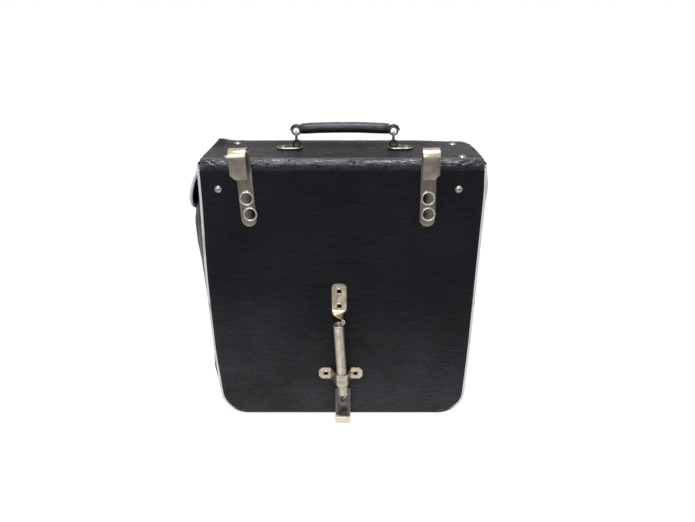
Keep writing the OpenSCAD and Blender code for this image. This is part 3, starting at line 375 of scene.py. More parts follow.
# Front panel: the same leatherette, glued over the front board and sewn to the gusset like the back.
# The flap covers its upper half.
front_y, front_top = 45.6, 328.0
front_form = panel_form(panel_w, panel_low, front_top, corner_r, front_y, -1)
front_panel = make_sheet("front_panel", front_form, panel_leather, panel_t)
belongs(front_panel, "bag", "leatherette", "front_cover")

# Gusset: one long strip of softer leatherette sewn between the back and the front, down one side,
# along the bottom and up the other side. It bulges past the panels near the top and sags in soft folds.
back_inner_y, front_inner_y, gusset_top, gusset_t = -45.8, 42.6, 329.0, 1.6
right_bulge, gusset_tuck, bulge_z = 5.0, 2.4, 235.0
left_swell, left_bulge, left_swell_z, left_bulge_z, left_tuck_z = 9.8, 14.5, 150.0, 258.0, 274.0


def bulge_at(x, z):
    """How far the gusset stands out past the panels. The left side swells most, under the lid's ear."""
    if x < 0:
        if z > left_tuck_z:
            drawn_in = smooth_step((gusset_top - z) / (gusset_top - left_tuck_z))
            return gusset_tuck + (left_bulge - gusset_tuck) * drawn_in
        low = panel_low + (left_swell - panel_low) * smooth_step((z - panel_low) / 60)
        return low + (left_bulge - left_swell) * smooth_step((z - left_swell_z) / (left_bulge_z - left_swell_z))
    if z < bulge_z:
        return panel_low + (right_bulge - panel_low) * smooth_step((z - panel_low) / (bulge_z - panel_low))
    return gusset_tuck + (right_bulge - gusset_tuck) * smooth_step((gusset_top - z) / (gusset_top - bulge_z))


def seam_line(w, low, top, r, out, sides, arcs, flats):
    """Points (x, z, outward x, outward z) down a panel's left edge, along its foot and up the right."""
    side, middle, foot = w / 2 + out, w / 2 - r, low + r
    drop = top - foot

    def corner(x, start):
        turns = [start + pi / 2 * i / arcs for i in range(arcs)]
        return [(x + (r + out) * cos(a), foot + (r + out) * sin(a), cos(a), sin(a))
                for a in turns]

    line = [(-side, top - drop * i / sides, -1.0, 0.0) for i in range(sides)] + corner(-middle, pi)
    line += [(-middle + 2 * middle * i / flats, low - out, 0.0, -1.0) for i in range(flats)]
    line += corner(middle, -pi / 2)
    return line + [(side, foot + drop * i / sides, 1.0, 0.0) for i in range(sides + 1)]


def bowed_out(line):
    return [(x + edge_bow(x, z) * min(1, abs(x) * 2 / panel_w) ** 3, z, out_x, out_z)
            for x, z, out_x, out_z in line]


gusset_path = bowed_out(seam_line(panel_w, panel_low, gusset_top, corner_r, 0.0, 59, 14, 50))
seam_turn, seam_in, gusset_low = 0.03, 0.9, 1.6
across = [-seam_turn] + [j / 24 for j in range(25)] + [1 + seam_turn]
gusset_columns = len(across)


def on_gusset(spot, v, above, lowest):
    """The point at the share v of the way across the gusset, from the back to the front."""
    x, z, out_x, out_z = spot
    rise = bulge_at(x, z) * (1 - abs(2 * v - 1) ** 4) + above if 0 <= v <= 1 else -seam_in
    return x + out_x * rise, back_inner_y + (front_inner_y - back_inner_y) * v, max(lowest, z + out_z * rise)


gusset_leather = leather("gusset_leatherette", (0.0045, 0.0045, 0.006, 1), (0.009, 0.009, 0.011, 1),
                         (220, 160, 300), 480, 0.40, 0.6, gloss=0.2)
gusset_points = [on_gusset(spot, v, 0.0, gusset_low) for spot in gusset_path for v in across]
gusset_faces = grid_faces(len(gusset_path), gusset_columns, flip=True)
gusset = make_piece("side_gusset", make_mesh("side_gusset", gusset_points, gusset_faces), gusset_leather)


def slack_cloth(piece, sewn, slack, swell, most, frames=18):
    """Let a sheet with held points settle as loose cloth, with no point moving further than most."""
    before = [v.co.copy() for v in piece.data.vertices]
    piece.vertex_groups.new(name="sewn").add(sewn, 1.0, "REPLACE")
    cloth = piece.modifiers.new("settle", "CLOTH")
    ways = cloth.settings
    ways.vertex_group_mass = "sewn"
    ways.quality, ways.mass = 6, 0.25
    ways.tension_stiffness = ways.compression_stiffness = 12
    ways.bending_stiffness, ways.shrink_min = 0.35, -slack
    ways.use_pressure, ways.uniform_pressure_force = True, swell
    ways.effector_weights.gravity = 0.4
    cloth.point_cache.frame_start, cloth.point_cache.frame_end = 1, frames
    for step in range(1, frames + 1):
        scene.frame_set(step)
    after = [v.co.copy() for v in piece.evaluated_get(bpy.context.evaluated_depsgraph_get()).data.vertices]
    piece.modifiers.clear()
    piece.vertex_groups.clear()
    scene.frame_set(1)
    for vertex, old, new in zip(piece.data.vertices, before, after):
        way = new - old
        vertex.co = old + way * min(1, most * MM / max(way.length, 1e-9))


slack_low, slack_high, seam_columns = 20, 272, 3
sewn_points = []
for i, (x, z, out_x, out_z) in enumerate(gusset_path):
    for j in range(gusset_columns):
        at_seam = j < seam_columns or j >= gusset_columns - seam_columns
        if at_seam or z < slack_low or z > slack_high:
            sewn_points.append(i * gusset_columns + j)
slack_cloth(gusset, sewn_points, 0.03, 0.4, 1.2)
thickened(gusset, gusset_t)
belongs(gusset, "bag", "leatherette", "left_gusset", "right_gusset", "bottom_panel")

# Piping: a pale vinyl cord in a folded strip, sewn into the seam round the back, the front and the flap.
# It has yellowed and greyed a little, and is scuffed black where the bag stands on it.


def dressed(tree, inside, out, made):
    """End a group of Geometry Nodes: what is made becomes plain mesh with its finish."""
    real = add_node(tree, "GeometryNodeRealizeInstances", {"Geometry": made})
    clad = add_node(tree, "GeometryNodeSetMaterial",
                    {"Geometry": real.outputs[0], "Material": inside["Finish"]})
    fill(tree, out, {0: clad.outputs[0]})
    return tree


def round_bar_tree():
    tree, inside, out = new_group(
        "round_bar", "GeometryNodeTree",
        {"Path": "Geometry", "Radius": "Float", "Sides": "Int", "Finish": "Material"}, {"Bar": "Geometry"})
    line = add_node(tree, "GeometryNodeMeshToCurve", {"Mesh": inside["Path"]})
    ring = add_node(tree, "GeometryNodeCurvePrimitiveCircle",
                    {"Resolution": inside["Sides"], "Radius": inside["Radius"]})
    bar = add_node(tree, "GeometryNodeCurveToMesh",
                   {"Curve": line.outputs[0], "Profile Curve": ring.outputs[0], "Fill Caps": True})
    return dressed(tree, inside, out, bar.outputs[0])


def grown(name, source, tree, **inputs):
    """A piece that a group of Geometry Nodes makes from a mesh of points or lines."""
    holder = link_object(name + "_path", source)
    growth = holder.modifiers.new("growth", "NODES")
    growth.node_group = tree
    for item in tree.interface.items_tree:
        if item.in_out == "INPUT" and item.name in inputs:
            growth[item.identifier] = inputs[item.name]
    mesh = bpy.data.meshes.new_from_object(holder.evaluated_get(bpy.context.evaluated_depsgraph_get()))
    growth.node_group = None
    bpy.data.objects.remove(holder)
    mesh.shade_smooth()
    mesh.set_sharp_from_angle(angle=radians(50))
    return link_object(name, mesh)


def line_mesh(name, paths, closed=False):
    points, edges = [], []
    for path in paths:
        first = len(points)
        points += path
        edges += [(first + i, first + i + 1) for i in range(len(path) - 1)]
        if closed:
            edges.append((len(points) - 1, first))
    return make_mesh(name, points, [], edges)


round_bar = round_bar_tree()


def bar_along(name, paths, thick, sides, finish, closed=False):
    return grown(name, line_mesh(name, paths, closed), round_bar,
                 Radius=thick / 2 * MM, Sides=sides, Finish=finish)


scuffed_z, clean_z = 0.0055, 0.0125
piping_vinyl, vinyl_tree, vinyl_shade = new_material("piping_vinyl")
vinyl_place = object_place(vinyl_tree)
vinyl_dirt = cloudy(vinyl_place, 46.0, 6.0, 0.65)
vinyl_tone = mixed(mapped(vinyl_dirt, 0.30, 0.48), (0.34, 0.32, 0.34, 1), (0.56, 0.54, 0.58, 1))
vinyl_clean = mapped(apart(vinyl_place)[2], scuffed_z, clean_z)
vinyl_colour = mixed(vinyl_clean, (0.011, 0.011, 0.013, 1), vinyl_tone)
fill(vinyl_tree, vinyl_shade, {"Base Color": vinyl_colour, "Roughness": 0.38,
                               "Normal": raised(vinyl_dirt, 0.25, 0.0004)})


def piping_path(w, low, top, r, y, d, bowed=False):
    line = seam_line(w, low, top, r, d / 2 + 0.05, 60, 16, 60)
    return [(x, y, z) for x, z, out_x, out_z in (bowed_out(line) if bowed else line)]


piping_d, piping_sides, back_piping_y, front_piping_y = 3.6, 14, -47.6, 44.4
for piping_name, piping_top, piping_y in (
        ("back_piping", panel_top, back_piping_y), ("front_piping", front_top, front_piping_y)):
    path = piping_path(panel_w, panel_low, piping_top, corner_r, piping_y, piping_d, bowed=True)
    piping = bar_along(piping_name + "_cord", [path], piping_d, piping_sides, piping_vinyl)
    belongs(piping, "bag", "piping", piping_name)

# Seam stitches: black thread in even lockstitches along both edges of the gusset, just inside the piping.
# They go through the gusset, the piping's strip and the panel.


def stitch_tree():
    tree, inside, out = new_group(
        "stitch_row", "GeometryNodeTree",
        {"Path": "Geometry", "Pitch": "Float", "Length": "Float", "Thread": "Float", "Finish": "Material"},
        {"Stitches": "Geometry"})
    line = add_node(tree, "GeometryNodeMeshToCurve", {"Mesh": inside["Path"]})
    spots = add_node(tree, "GeometryNodeCurveToPoints", {"Curve": line.outputs[0], "Length": inside["Pitch"]},
                     mode="LENGTH")
    half = product(inside["Thread"], 0.5)
    stitch = add_node(tree, "GeometryNodeMeshCylinder",
                      {"Vertices": 6, "Radius": half, "Depth": inside["Length"]})
    turned = add_node(tree, "FunctionNodeAlignRotationToVector", {"Vector": spots.outputs["Tangent"]}, axis="Z")
    row = add_node(tree, "GeometryNodeInstanceOnPoints", {
        "Points": spots.outputs["Points"], "Instance": stitch.outputs["Mesh"], "Rotation": turned.outputs[0]})
    return dressed(tree, inside, out, row.outputs[0])


stitch_row = stitch_tree()
thread, thread_tree, thread_shade = new_material("black_thread")
twist = cloudy(object_place(thread_tree), 1500.0, 2.0)
thread_tone = mixed(twist, (0.008, 0.008, 0.009, 1), (0.045, 0.045, 0.048, 1))
fill(thread_tree, thread_shade, {"Base Color": thread_tone, "Roughness": 0.6})


def stitched(name, paths, body):
    stitches = grown(name, line_mesh(name, paths), stitch_row,
                     Pitch=4.2 * MM, Length=3.2 * MM, Thread=0.7 * MM, Finish=thread)
    belongs(stitches, body, "leatherette")


back_seam, front_seam, seam_above, seam_low = 0.045, 0.955, 0.15, 0.35
seam_rows = [[on_gusset(spot, v, seam_above, seam_low) for spot in gusset_path]
             for v in (back_seam, front_seam)]
stitched("gusset_stitches", seam_rows, "bag")

# Back fold: the leatherette that carries on from the back panel over the top edge to the lid and works
# as its hinge. Years of bending have polished and creased it, and its ends are drawn in at the corners.
fold_r, hinge_z, fold_land = 8.0, 334.0, 3.0
rear_hinge_y, flap_hinge_y, lid_top = -42.0, 42.0, 341.6


def lid_lift(x, y):
    """How far the lid's skin rises off its board: a little along the front, most in its left corner."""
    corner = exp(-((x + 151) / 9) ** 2)
    return (1.4 + 3.4 * corner - 1.4 * smooth_step((x - 85) / 60)) * smooth_step((y - 12) / 28)


def fold_form(w, hinge_y, side, seed, crease):
    """A fold from a panel's top edge to the lid's edge. Its profile is (towards the lid, up) from the hinge."""
    profile = [(-fold_r, -fold_land - 0.6), (-fold_r, -fold_land * 0.5)]
    turns = [pi - pi / 2 * i / 24 for i in range(25)]
    profile += [(fold_r * cos(a), fold_r * sin(a)) for a in turns]
    profile += [(fold_land * 0.5, fold_r - 0.15), (fold_land + 0.5, fold_r - 0.35)]
    columns = 260
    points = []
    for k, (along, up) in enumerate(profile):
        t = k / (len(profile) - 1)
        bend = sin(pi * t) ** 0.7
        for j in range(columns):
            s = 2 * j / (columns - 1) - 1
            x = s * w / 2
            near_end = smooth_step((abs(x) - w / 2 + 46) / 40)
            tip = max(0.0, 1 - (w / 2 - abs(x)) / 11) ** 2
            running = abs(noise.noise(Vector((x / 26, seed + 6 * t + x / 90, 0)))) * 1.6
            running += 0.7 * noise.noise(Vector((x / 9, seed + 10 * t, 4)))
            slant = x / 2.4 - copysign(9 * t, x) + 3.4 * noise.noise(Vector((x / 16, 2 * t, seed)))
            pucker = (sin(slant) + 0.5 * sin(1.7 * slant + 1)) * near_end
            depth = crease * bend * (0.5 * running + 0.55 * pucker)
            bow = 0.9 * bend * (1 - s * s) + 0.8 * near_end * bend
            reach = 1 - 0.36 * tip * bend + (bow - depth) / fold_r * bend
            lift = lid_lift(x, hinge_y) * smooth_step((up + fold_land) / (fold_r + fold_land))
            points.append((x, hinge_y + side * along * reach, hinge_z + up * reach + lift))
    return points, grid_faces(len(profile), columns, flip=side < 0)


fold_leather = leather("fold_leatherette", (0.006, 0.006, 0.0078, 1), (0.012, 0.012, 0.015, 1),
                       (140, 300, 300), 360, 0.44, 0.9, gloss=0.23, crown=(0.25, 0.48))
back_fold = make_sheet("back_fold", fold_form(panel_w, rear_hinge_y, 1, 3.0, 1.4), fold_leather, panel_t)
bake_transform(back_fold)
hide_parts("rear_fold")

# Lid: leatherette glued over a flat board, with its side edges turned down over the board.
# The skin has come loose and risen a little along the front.
lid_rear, lid_l, lid_t, lid_turn_w, lid_turn_h = -39.4, 78.8, 1.0, 1.5, 3.4


def lid_overhang(y):
    """How far the lid's side edges stand past the panel's width; they are drawn in to the front fold."""
    return 1.7 * smooth_step((y - lid_rear) / 12) - 4.7 * smooth_step((y - 14) / 26)


def lid_form():
    columns, rows = 70, 26
    points = []
    for i in range(rows):
        y = lid_rear + lid_l * i / (rows - 1)
        for j in range(columns):
            s = 2 * j / (columns - 1) - 1
            s = copysign(1 - (1 - abs(s)) ** 1.5, s)
            lid_half = panel_w / 2 + lid_overhang(y)
            x = s * lid_half
            turned = max(0, 1 - (lid_half - abs(x)) / lid_turn_w) ** 2
            wave = 0.25 * noise.noise(Vector((x / 45, y / 30, 2))) * (1 - turned)
            points.append((x, y, lid_top - lid_turn_h * turned + min(0, wave) + lid_lift(x, y)))
    return points, grid_faces(rows, columns)


# Across its middle the lid keeps only a share of its gloss: a painted shade of the handle.
lid_leather = leather("lid_leatherette", (0.003, 0.003, 0.004, 1), (0.008, 0.008, 0.0105, 1),
                      (60, 170, 60), 420, 0.44, 1.4, gloss=0.1, middle_shade=0.32)
lid_skin = make_sheet("lid_skin", lid_form(), lid_leather, lid_t)
belongs(lid_skin, "lid", "leatherette", "lid_cover")

# Lid ears: two soft leatherette flaps, riveted under the lid, that hang outside the gussets against rain.
# Their round edge carries the same pale piping, rubbed dark below. The full gusset pushes the left one out.
lid_under, ear_t, ear_flange, ear_drop, ear_corner_r, ear_bend_r = 338.0, 1.4, 38.0, 57.0, 26.0, 4.0
ear_x, ear_rear, ear_fore, ear_piping_d = 159.5, -39.0, 34.1, 3.8
ear_wall_top, ear_low = lid_under - ear_bend_r, lid_under - ear_drop
ear_rubbed_z, ear_clean_z = 0.278, 0.292


def ear_wall_x(z, bow):
    return ear_x + bow * sin(radians(95 * (ear_wall_top - z) / (ear_wall_top - ear_low))) ** 1.3


def ear_form(side, bow):
    flange_x, bend_x = panel_w / 2 - ear_flange, ear_x - ear_bend_r
    rows, columns = [(flange_x + (bend_x - flange_x) * i / 8, lid_under) for i in range(8)], 33
    for i in range(7):
        a = pi / 2 * (1 - i / 6)
        rows.append((bend_x + ear_bend_r * cos(a), ear_wall_top + ear_bend_r * sin(a)))
    for i in range(1, 31):
        z = ear_wall_top - (ear_wall_top - ear_low) * i / 30
        rows.append((ear_wall_x(z, bow), z))
    points = []
    for x, z in rows:
        below = max(0.0, ear_low + ear_corner_r - z)
        drawn_in = ear_corner_r - sqrt(max(ear_corner_r ** 2 - below ** 2, 0))
        for j in range(columns):
            y = ear_rear + drawn_in + (ear_fore - ear_rear - 2 * drawn_in) * j / (columns - 1)
            loose = 0.4 * noise.noise(Vector((y / 17, z / 20, 3 * side))) * smooth_step((ear_wall_top - z) / 12)
            points.append((side * (x + loose), y, z))
    return points, grid_faces(len(rows), columns, flip=side > 0)


def ear_edge(side, bow):
    """The piping's path down the ear's rear edge, along its foot and up its front edge."""
    out = ear_piping_d / 2 + 0.05
    r = ear_corner_r + out
    rear_edge = [(ear_rear - out, ear_wall_top - 4.0 * i) for i in range(7)]
    for i in range(13):
        a = pi / 2 * i / 12
        rear_edge.append((ear_rear - out + r * (1 - cos(a)), ear_low - out + r * (1 - sin(a))))
    fore_edge = [(ear_rear + ear_fore - y, z) for y, z in reversed(rear_edge)]
    path = []
    for y, z in rear_edge + fore_edge:
        tucked = 2.4 * smooth_step((z - 312) / 20)
        path.append((side * (ear_wall_x(z, bow) - ear_t + ear_piping_d / 2 - tucked), y, z))
    return path


ear_vinyl = piping_vinyl.copy()
ear_tree = ear_vinyl.node_tree
fill(ear_tree, ear_tree.nodes[vinyl_clean.node.name], {1: ear_rubbed_z, 2: ear_clean_z})
for ear_name, side, bow in (("left", -1, 12.0), ("right", 1, 1.6)):
    ear = make_sheet(ear_name + "_ear_flap", ear_form(side, bow), gusset_leather, ear_t)
    belongs(ear, "lid", "leatherette", ear_name + "_lid_ear")
    ear_cord = bar_along(ear_name + "_ear_cord", [ear_edge(side, bow)], ear_piping_d, 12, ear_vinyl)
    belongs(ear_cord, "lid", "piping", ear_name + "_ear_piping")

# Flap: leatherette on a thin board, hanging from the front fold over the upper half of the front.
# It is edged with the same pale piping and a row of black stitches, and slotted for the turn locks.
flap_w, flap_low, flap_corner_r, flap_y = 304.0, 141.0, 28.0, 50.0
lock_x, lock_z, slot_half, slot_r, slot_deep = 85.0, 168.0, 8.0, 7.0, 20.0
front_fold_form = fold_form(flap_w, flap_hinge_y, -1, 11.0, 0.7)
front_fold = make_sheet("front_fold_skin", front_fold_form, fold_leather, panel_t)
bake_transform(front_fold)
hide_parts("front_fold")


def settled_mesh(name, shell):
    mesh = bpy.data.meshes.new(name)
    shell.to_mesh(mesh)
    shell.free()
    return mesh


def cut_slots(piece):
    cutter = bmesh.new()
    r, deep = slot_r * MM, slot_deep * MM
    for middle in (-lock_x, lock_x):
        for x in (middle - slot_half, middle + slot_half):
            place = Matrix.Translation((x * MM, flap_y * MM, lock_z * MM))
            bmesh.ops.create_cone(cutter, cap_ends=True, segments=32, radius1=r, radius2=r, depth=deep,
                                  matrix=place @ Matrix.Rotation(pi / 2, 4, "X"))
        place = Matrix.Translation((middle * MM, flap_y * MM, lock_z * MM))
        place = place @ Matrix.Diagonal((2 * slot_half * MM, deep, 2 * r, 1))
        bmesh.ops.create_cube(cutter, size=1, matrix=place)
    tool = link_object("slot_cutter", settled_mesh("slot_cutter", cutter))
    cut = piece.modifiers.new("slots", "BOOLEAN")
    cut.object = tool
    cut.solver = "EXACT"
    cut.use_self = True
    with_modifiers(piece)
    bpy.data.objects.remove(tool)


flap_form = panel_form(flap_w, flap_low, panel_top, flap_corner_r, flap_y, -1, rows=56, bowed=0.0)
flap_skin = make_sheet("flap_skin", flap_form, panel_leather, panel_t)
cut_slots(flap_skin)
belongs(flap_skin, "flap", "leatherette", "flap_cover")

flap_piping_y, flap_piping_d, flap_piping_out, flap_seam_in = 48.8, 4.0, 2.05, 4.5
flap_edge = piping_path(flap_w, flap_low, panel_top, flap_corner_r, flap_piping_y, flap_piping_d)
flap_piping = bar_along("flap_piping_cord", [flap_edge], flap_piping_d, piping_sides, piping_vinyl)
belongs(flap_piping, "flap", "piping", "flap_piping")
seam_narrower = (flap_w / 2 - flap_seam_in) / (flap_w / 2 + flap_piping_out)
flap_seam = [(x * seam_narrower, flap_y + 0.05,
              flap_low + flap_seam_in + (z - flap_low + flap_piping_out) * 0.965) for x, y, z in flap_edge]
stitched("flap_stitches", [flap_seam], "flap")

# Rack hooks: nickel-plated steel strip, rolled over at the top to hang on the rack's rail. The lip's lower
# corners are cut across. Both hooks were riveted with a slight lean, and the left lip was folded askew.


def wear_group():
    group, inside, out = new_group(
        "plating_wear", "ShaderNodeTree", {"Place": "Vector", "Brush": "Vector"},
        {"Tarnish": "Float", "Scratch": "Float"})
    cloud = cloudy(inside["Place"], 120.0, 6.0, 0.62)
    lines = cloudy(stretched(inside["Place"], inside["Brush"]), 1.0, 4.0)
    fill(group, out, {"Tarnish": mapped(cloud, 0.42, 0.68), "Scratch": lines})
    return group


plating_wear = wear_group()


def metal(name, bright, dull, smooth, worn, polished=None, painted_shade_side=None):
    """Plating between two tones. An optional painted highlight fades in along Y and an optional painted shade
    along X, each as (from, to, colour).
    """
    material, tree, shade = new_material(name)
    place = object_place(tree)
    x, y, z = apart(place)
    wear = add_node(tree, "ShaderNodeGroup", {"Place": place, "Brush": (900, 900, 120)},
                    node_tree=plating_wear).outputs
    colour = mixed(wear["Tarnish"], bright, dull)
    for change, way in ((polished, y), (painted_shade_side, x)):
        if change:
            start, end, tone = change
            colour = mixed(mapped(way, start, end), colour, tone)
    fill(tree, shade, {"Base Color": colour, "Metallic": 1.0,
                       "Roughness": mapped(wear["Tarnish"], 0.0, 1.0, smooth, worn),
                       "Normal": raised(wear["Scratch"], 0.06, 0.0003)})
    return material


def eased(node_name, kind, material, body, width, segments=3):
    """Put a copy of a solid with its edges rounded over in the solid's place."""
    name = node_name + "_" + kind
    shell = bmesh.new()
    shell.from_mesh(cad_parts[node_name].data)
    bmesh.ops.remove_doubles(shell, verts=shell.verts, dist=2e-6)
    bmesh.ops.dissolve_limit(shell, angle_limit=radians(1.0), verts=shell.verts, edges=shell.edges)
    piece = make_piece(name, settled_mesh(name, shell), material)
    bevel = piece.modifiers.new("edges", "BEVEL")
    bevel.width = width * MM
    bevel.segments = segments
    bevel.limit_method = "ANGLE"
    bevel.angle_limit = radians(35)
    bevel.use_clamp_overlap = True
    with_modifiers(piece)
    piece.data.shade_smooth()
    piece.data.set_sharp_from_angle(angle=radians(32))
    belongs(piece, body, "nickel", node_name)


# Painted highlight: each hook is painted lighter where it stands out from the back, on its bend and lip.
hook_nickel = metal("hook_nickel", (0.33, 0.29, 0.235, 1), (0.23, 0.2, 0.165, 1), 0.26, 0.42,
                    polished=(-0.053, -0.062, (0.42, 0.37, 0.30, 1)))
for hook_name in ("left_rack_hook", "right_rack_hook"):
    eased(hook_name, "strip", hook_nickel, "bag", 0.45)

# Cup rivets: two large rivets with polished, dished heads hold each hook to the back board.
# The dishes are turned forms of their own, so that one side of each, towards the bag's middle, can carry a
# painted shade.


def tube_faces(rows, sides, first=0, flip=False):
    """Faces of a tube made of rings of points, with both ends closed."""
    faces = []
    for i in range(rows - 1):
        for k in range(sides):
            a, b = first + i * sides + k, first + i * sides + (k + 1) % sides
            faces.append((a, b, b + sides, a + sides))
    faces.append(tuple(range(first, first + sides))[::-1])
    faces.append(tuple(range(first + (rows - 1) * sides, first + rows * sides)))
    return [face[::-1] for face in faces] if flip else faces


def lathed(profile, sides=40):
    """A closed turned form about Z from points (radius, height), from the rim's foot to the middle."""
    turns = [2 * pi * k / sides for k in range(sides)]
    points = [(r * cos(a), r * sin(a), h) for r, h in profile for a in turns]
    return points, tube_faces(len(profile), sides)


def spot_tree():
    tree, inside, out = new_group(
        "set_rivets", "GeometryNodeTree",
        {"Spots": "Geometry", "Rivet": "Object", "Turn": "Rotation", "Finish": "Material"},
        {"Rivets": "Geometry"})
    rivet = add_node(tree, "GeometryNodeObjectInfo", {"Object": inside["Rivet"]})
    placed = add_node(tree, "GeometryNodeInstanceOnPoints", {
        "Points": inside["Spots"], "Instance": rivet.outputs["Geometry"], "Rotation": inside["Turn"]})
    return dressed(tree, inside, out, placed.outputs[0])


set_rivets = spot_tree()
BACKWARD, UPWARD, FORWARD = (pi / 2, 0, 0), (0, 0, 0), (-pi / 2, 0, 0)


def rivets(name, profile, spots, turn, material, body, *nodes):
    head = link_object(name + "_head", make_mesh(name + "_head", *lathed(profile)))
    made = grown(name, make_mesh(name + "_spots", spots, []), set_rivets,
                 Rivet=head, Turn=turn, Finish=material)
    bpy.data.objects.remove(head)
    belongs(made, body, "nickel", *nodes)


hook_pivot_z, hook_pitch, hook_t = 290.25, 18.5, 1.6
hook_places = ((-105.5, radians(2.0), 2.2), (95.5, radians(1.5), 0.8))
cup_spots = []
for x, lean, low_aside in hook_places:
    for up, aside in ((-hook_pitch / 2, low_aside), (hook_pitch / 2, 0.0)):
        cup_spots.append((x - sin(lean) * up + cos(lean) * aside, back_y - hook_t,
                          hook_pivot_z + cos(lean) * up + sin(lean) * aside))
cup_profile = [(3.0, -0.4), (8.0, -0.4), (8.2, 0.0), (8.2, 1.5), (8.08, 2.0), (7.75, 2.32), (7.3, 2.4),
               (6.95, 2.3), (6.7, 2.0)]
cup_profile += [(6.5 * cos(pi * i / 18), 2.0 - 1.45 * sin(pi * i / 18)) for i in range(1, 9)]
cup_profile += [(0.25, 0.55)]
cup_nickel = metal("cup_nickel", (0.62, 0.58, 0.52, 1), (0.42, 0.39, 0.34, 1), 0.14, 0.32)
rivets("cup_rivets", cup_profile, cup_spots, BACKWARD, cup_nickel, "bag", "hook_rivets")
dish_profile = [(6.7, 1.6), (6.75, 2.06)]
dish_profile += [(6.65 * cos(pi * i / 24), 2.06 - 1.4 * sin(pi * i / 24)) for i in range(12)]
dish_profile += [(0.2, 0.66)]
for dish_name, dish_spots, unshaded_x, shaded_x in (
        ("left_cup_dishes", cup_spots[:2], -0.1074, -0.0999),
        ("right_cup_dishes", cup_spots[2:], 0.0985, 0.0915)):
    dish_nickel = metal(dish_name, (0.46, 0.42, 0.35, 1), (0.30, 0.27, 0.22, 1), 0.12, 0.25,
                        painted_shade_side=(unshaded_x, shaded_x, (0.035, 0.028, 0.022, 1)))
    rivets(dish_name, dish_profile, dish_spots, BACKWARD, dish_nickel, "bag")

# Domed rivets: small nickel-plated heads, one in each upper corner of the back, four through the lid
# into its ears, and a darker one through each chape.
dome_d, dome_h = 8.5, 2.0
dome_ball = ((dome_d / 2) ** 2 + dome_h ** 2) / (2 * dome_h)
dome_angle = asin(dome_d / 2 / dome_ball)
dome_profile = [(2.0, -0.3), (dome_d / 2 - 0.1, -0.3), (dome_d / 2, -0.05)]
dome_profile += [(dome_ball * sin(a), dome_ball * (cos(a) - 1) + dome_h)
                 for a in [dome_angle * (1 - i / 8) for i in range(8)]]
dome_profile += [(0.12, dome_h)]
dome_nickel = metal("dome_nickel", (0.38, 0.35, 0.33, 1), (0.22, 0.20, 0.19, 1), 0.2, 0.45)
corner_spots = [(-137.0, back_y, 309.0), (129.0, back_y, 309.0)]
rivets("corner_rivet_heads", dome_profile, corner_spots, BACKWARD, dome_nickel, "bag", "corner_rivets")
handle_x, handle_y, link_span = 3.0, 8.0, 113.0
lid_rivet_reach, chape_rivet_reach, chape_t = 130.0, 16.0, 1.4
lid_spots = [(x, y, lid_top + lid_lift(x, y))
             for x in (handle_x - lid_rivet_reach, handle_x + lid_rivet_reach) for y in (-33.5, 30.0)]
rivets("lid_rivet_heads", dome_profile, lid_spots, UPWARD, dome_nickel, "lid", "lid_rivets")
chape_spots = [(handle_x + side * (link_span / 2 + chape_rivet_reach), handle_y, lid_top + chape_t)
               for side in (-1, 1)]
chape_nickel = metal("chape_nickel", (0.16, 0.14, 0.13, 1), (0.07, 0.06, 0.055, 1), 0.2, 0.45)
rivets("chape_rivet_heads", dome_profile, chape_spots, UPWARD, chape_nickel, "lid", "chape_rivets")

# Inner plates and washers: plain zinc-plated steel that spreads the rivets' pull on the boards.
# They are seen only in the open bag.
zinc = metal("zinc_plate", (0.46, 0.46, 0.45, 1), (0.30, 0.30, 0.30, 1), 0.4, 0.6)
repaint(("hook_backing_plates", "corner_washers", "lid_washers", "chape_washers", "eyelet_rings"), zinc)

# Lower catch: an anchor strip with its end twisted edge-on, a close-wound spring, a strap that guides the
# spring, and a flat hook whose foot pulls down over a stay of the rack. Hollow rivets hold it to the back.
catch_nickel = metal("catch_nickel", (0.54, 0.48, 0.38, 1), (0.32, 0.28, 0.22, 1), 0.28, 0.45)
# The tension hook is darker than the other catch parts, and its lip, where it stands out from the back, is
# painted lighter: a painted highlight.
pull_nickel = metal("pull_nickel", (0.16, 0.145, 0.14, 1), (0.09, 0.08, 0.075, 1), 0.28, 0.45,
                    polished=(-0.068, -0.072, (0.70, 0.65, 0.53, 1)))
for catch_name, catch_body, catch_metal in (
        ("spring_anchor", "bag", catch_nickel), ("spring_guide", "bag", catch_nickel),
        ("tension_hook", "tension_hook", pull_nickel)):
    eased(catch_name, "strip", catch_metal, catch_body, 0.3)

anchor_t, guide_t = 1.6, 1.2
tube_profile = [(2.9, -3.9), (2.9, -0.3), (4.1, -0.3), (4.2, 0.1), (4.1, 0.6), (3.75, 0.9), (3.2, 0.95),
                (2.75, 0.7), (2.55, 0.2), (2.5, -1.0), (2.5, -3.5), (0.2, -3.6)]
anchor_spots = [(-4.0, back_y - anchor_t, z) for z in (183.45, 163.45)]
rivets("anchor_rivet_rims", tube_profile, anchor_spots, BACKWARD, catch_nickel, "bag", "anchor_rivets")
guide_spots = [(x, back_y - guide_t, 65.5) for x in (-21.38, 16.02)]
rivets("guide_rivet_rims", tube_profile, guide_spots, BACKWARD, catch_nickel, "bag", "guide_rivets")
# The bores are plugged with matte black discs: a painted shade that also covers the rims' inner slope.
painted_bore_black, bore_tree, bore_shade = new_material("painted_bore_shadow")
fill(bore_tree, bore_shade,
     {"Base Color": (0.010, 0.008, 0.007, 1), "Roughness": 0.9, "Specular IOR Level": 0.0})
bore_profile = [(1.0, -1.5), (3.2, -1.5), (3.3, 0.9), (3.1, 0.98), (2.6, 0.4), (0.1, -0.6)]
rivets("rivet_bores", bore_profile, anchor_spots + guide_spots, BACKWARD, painted_bore_black, "bag")

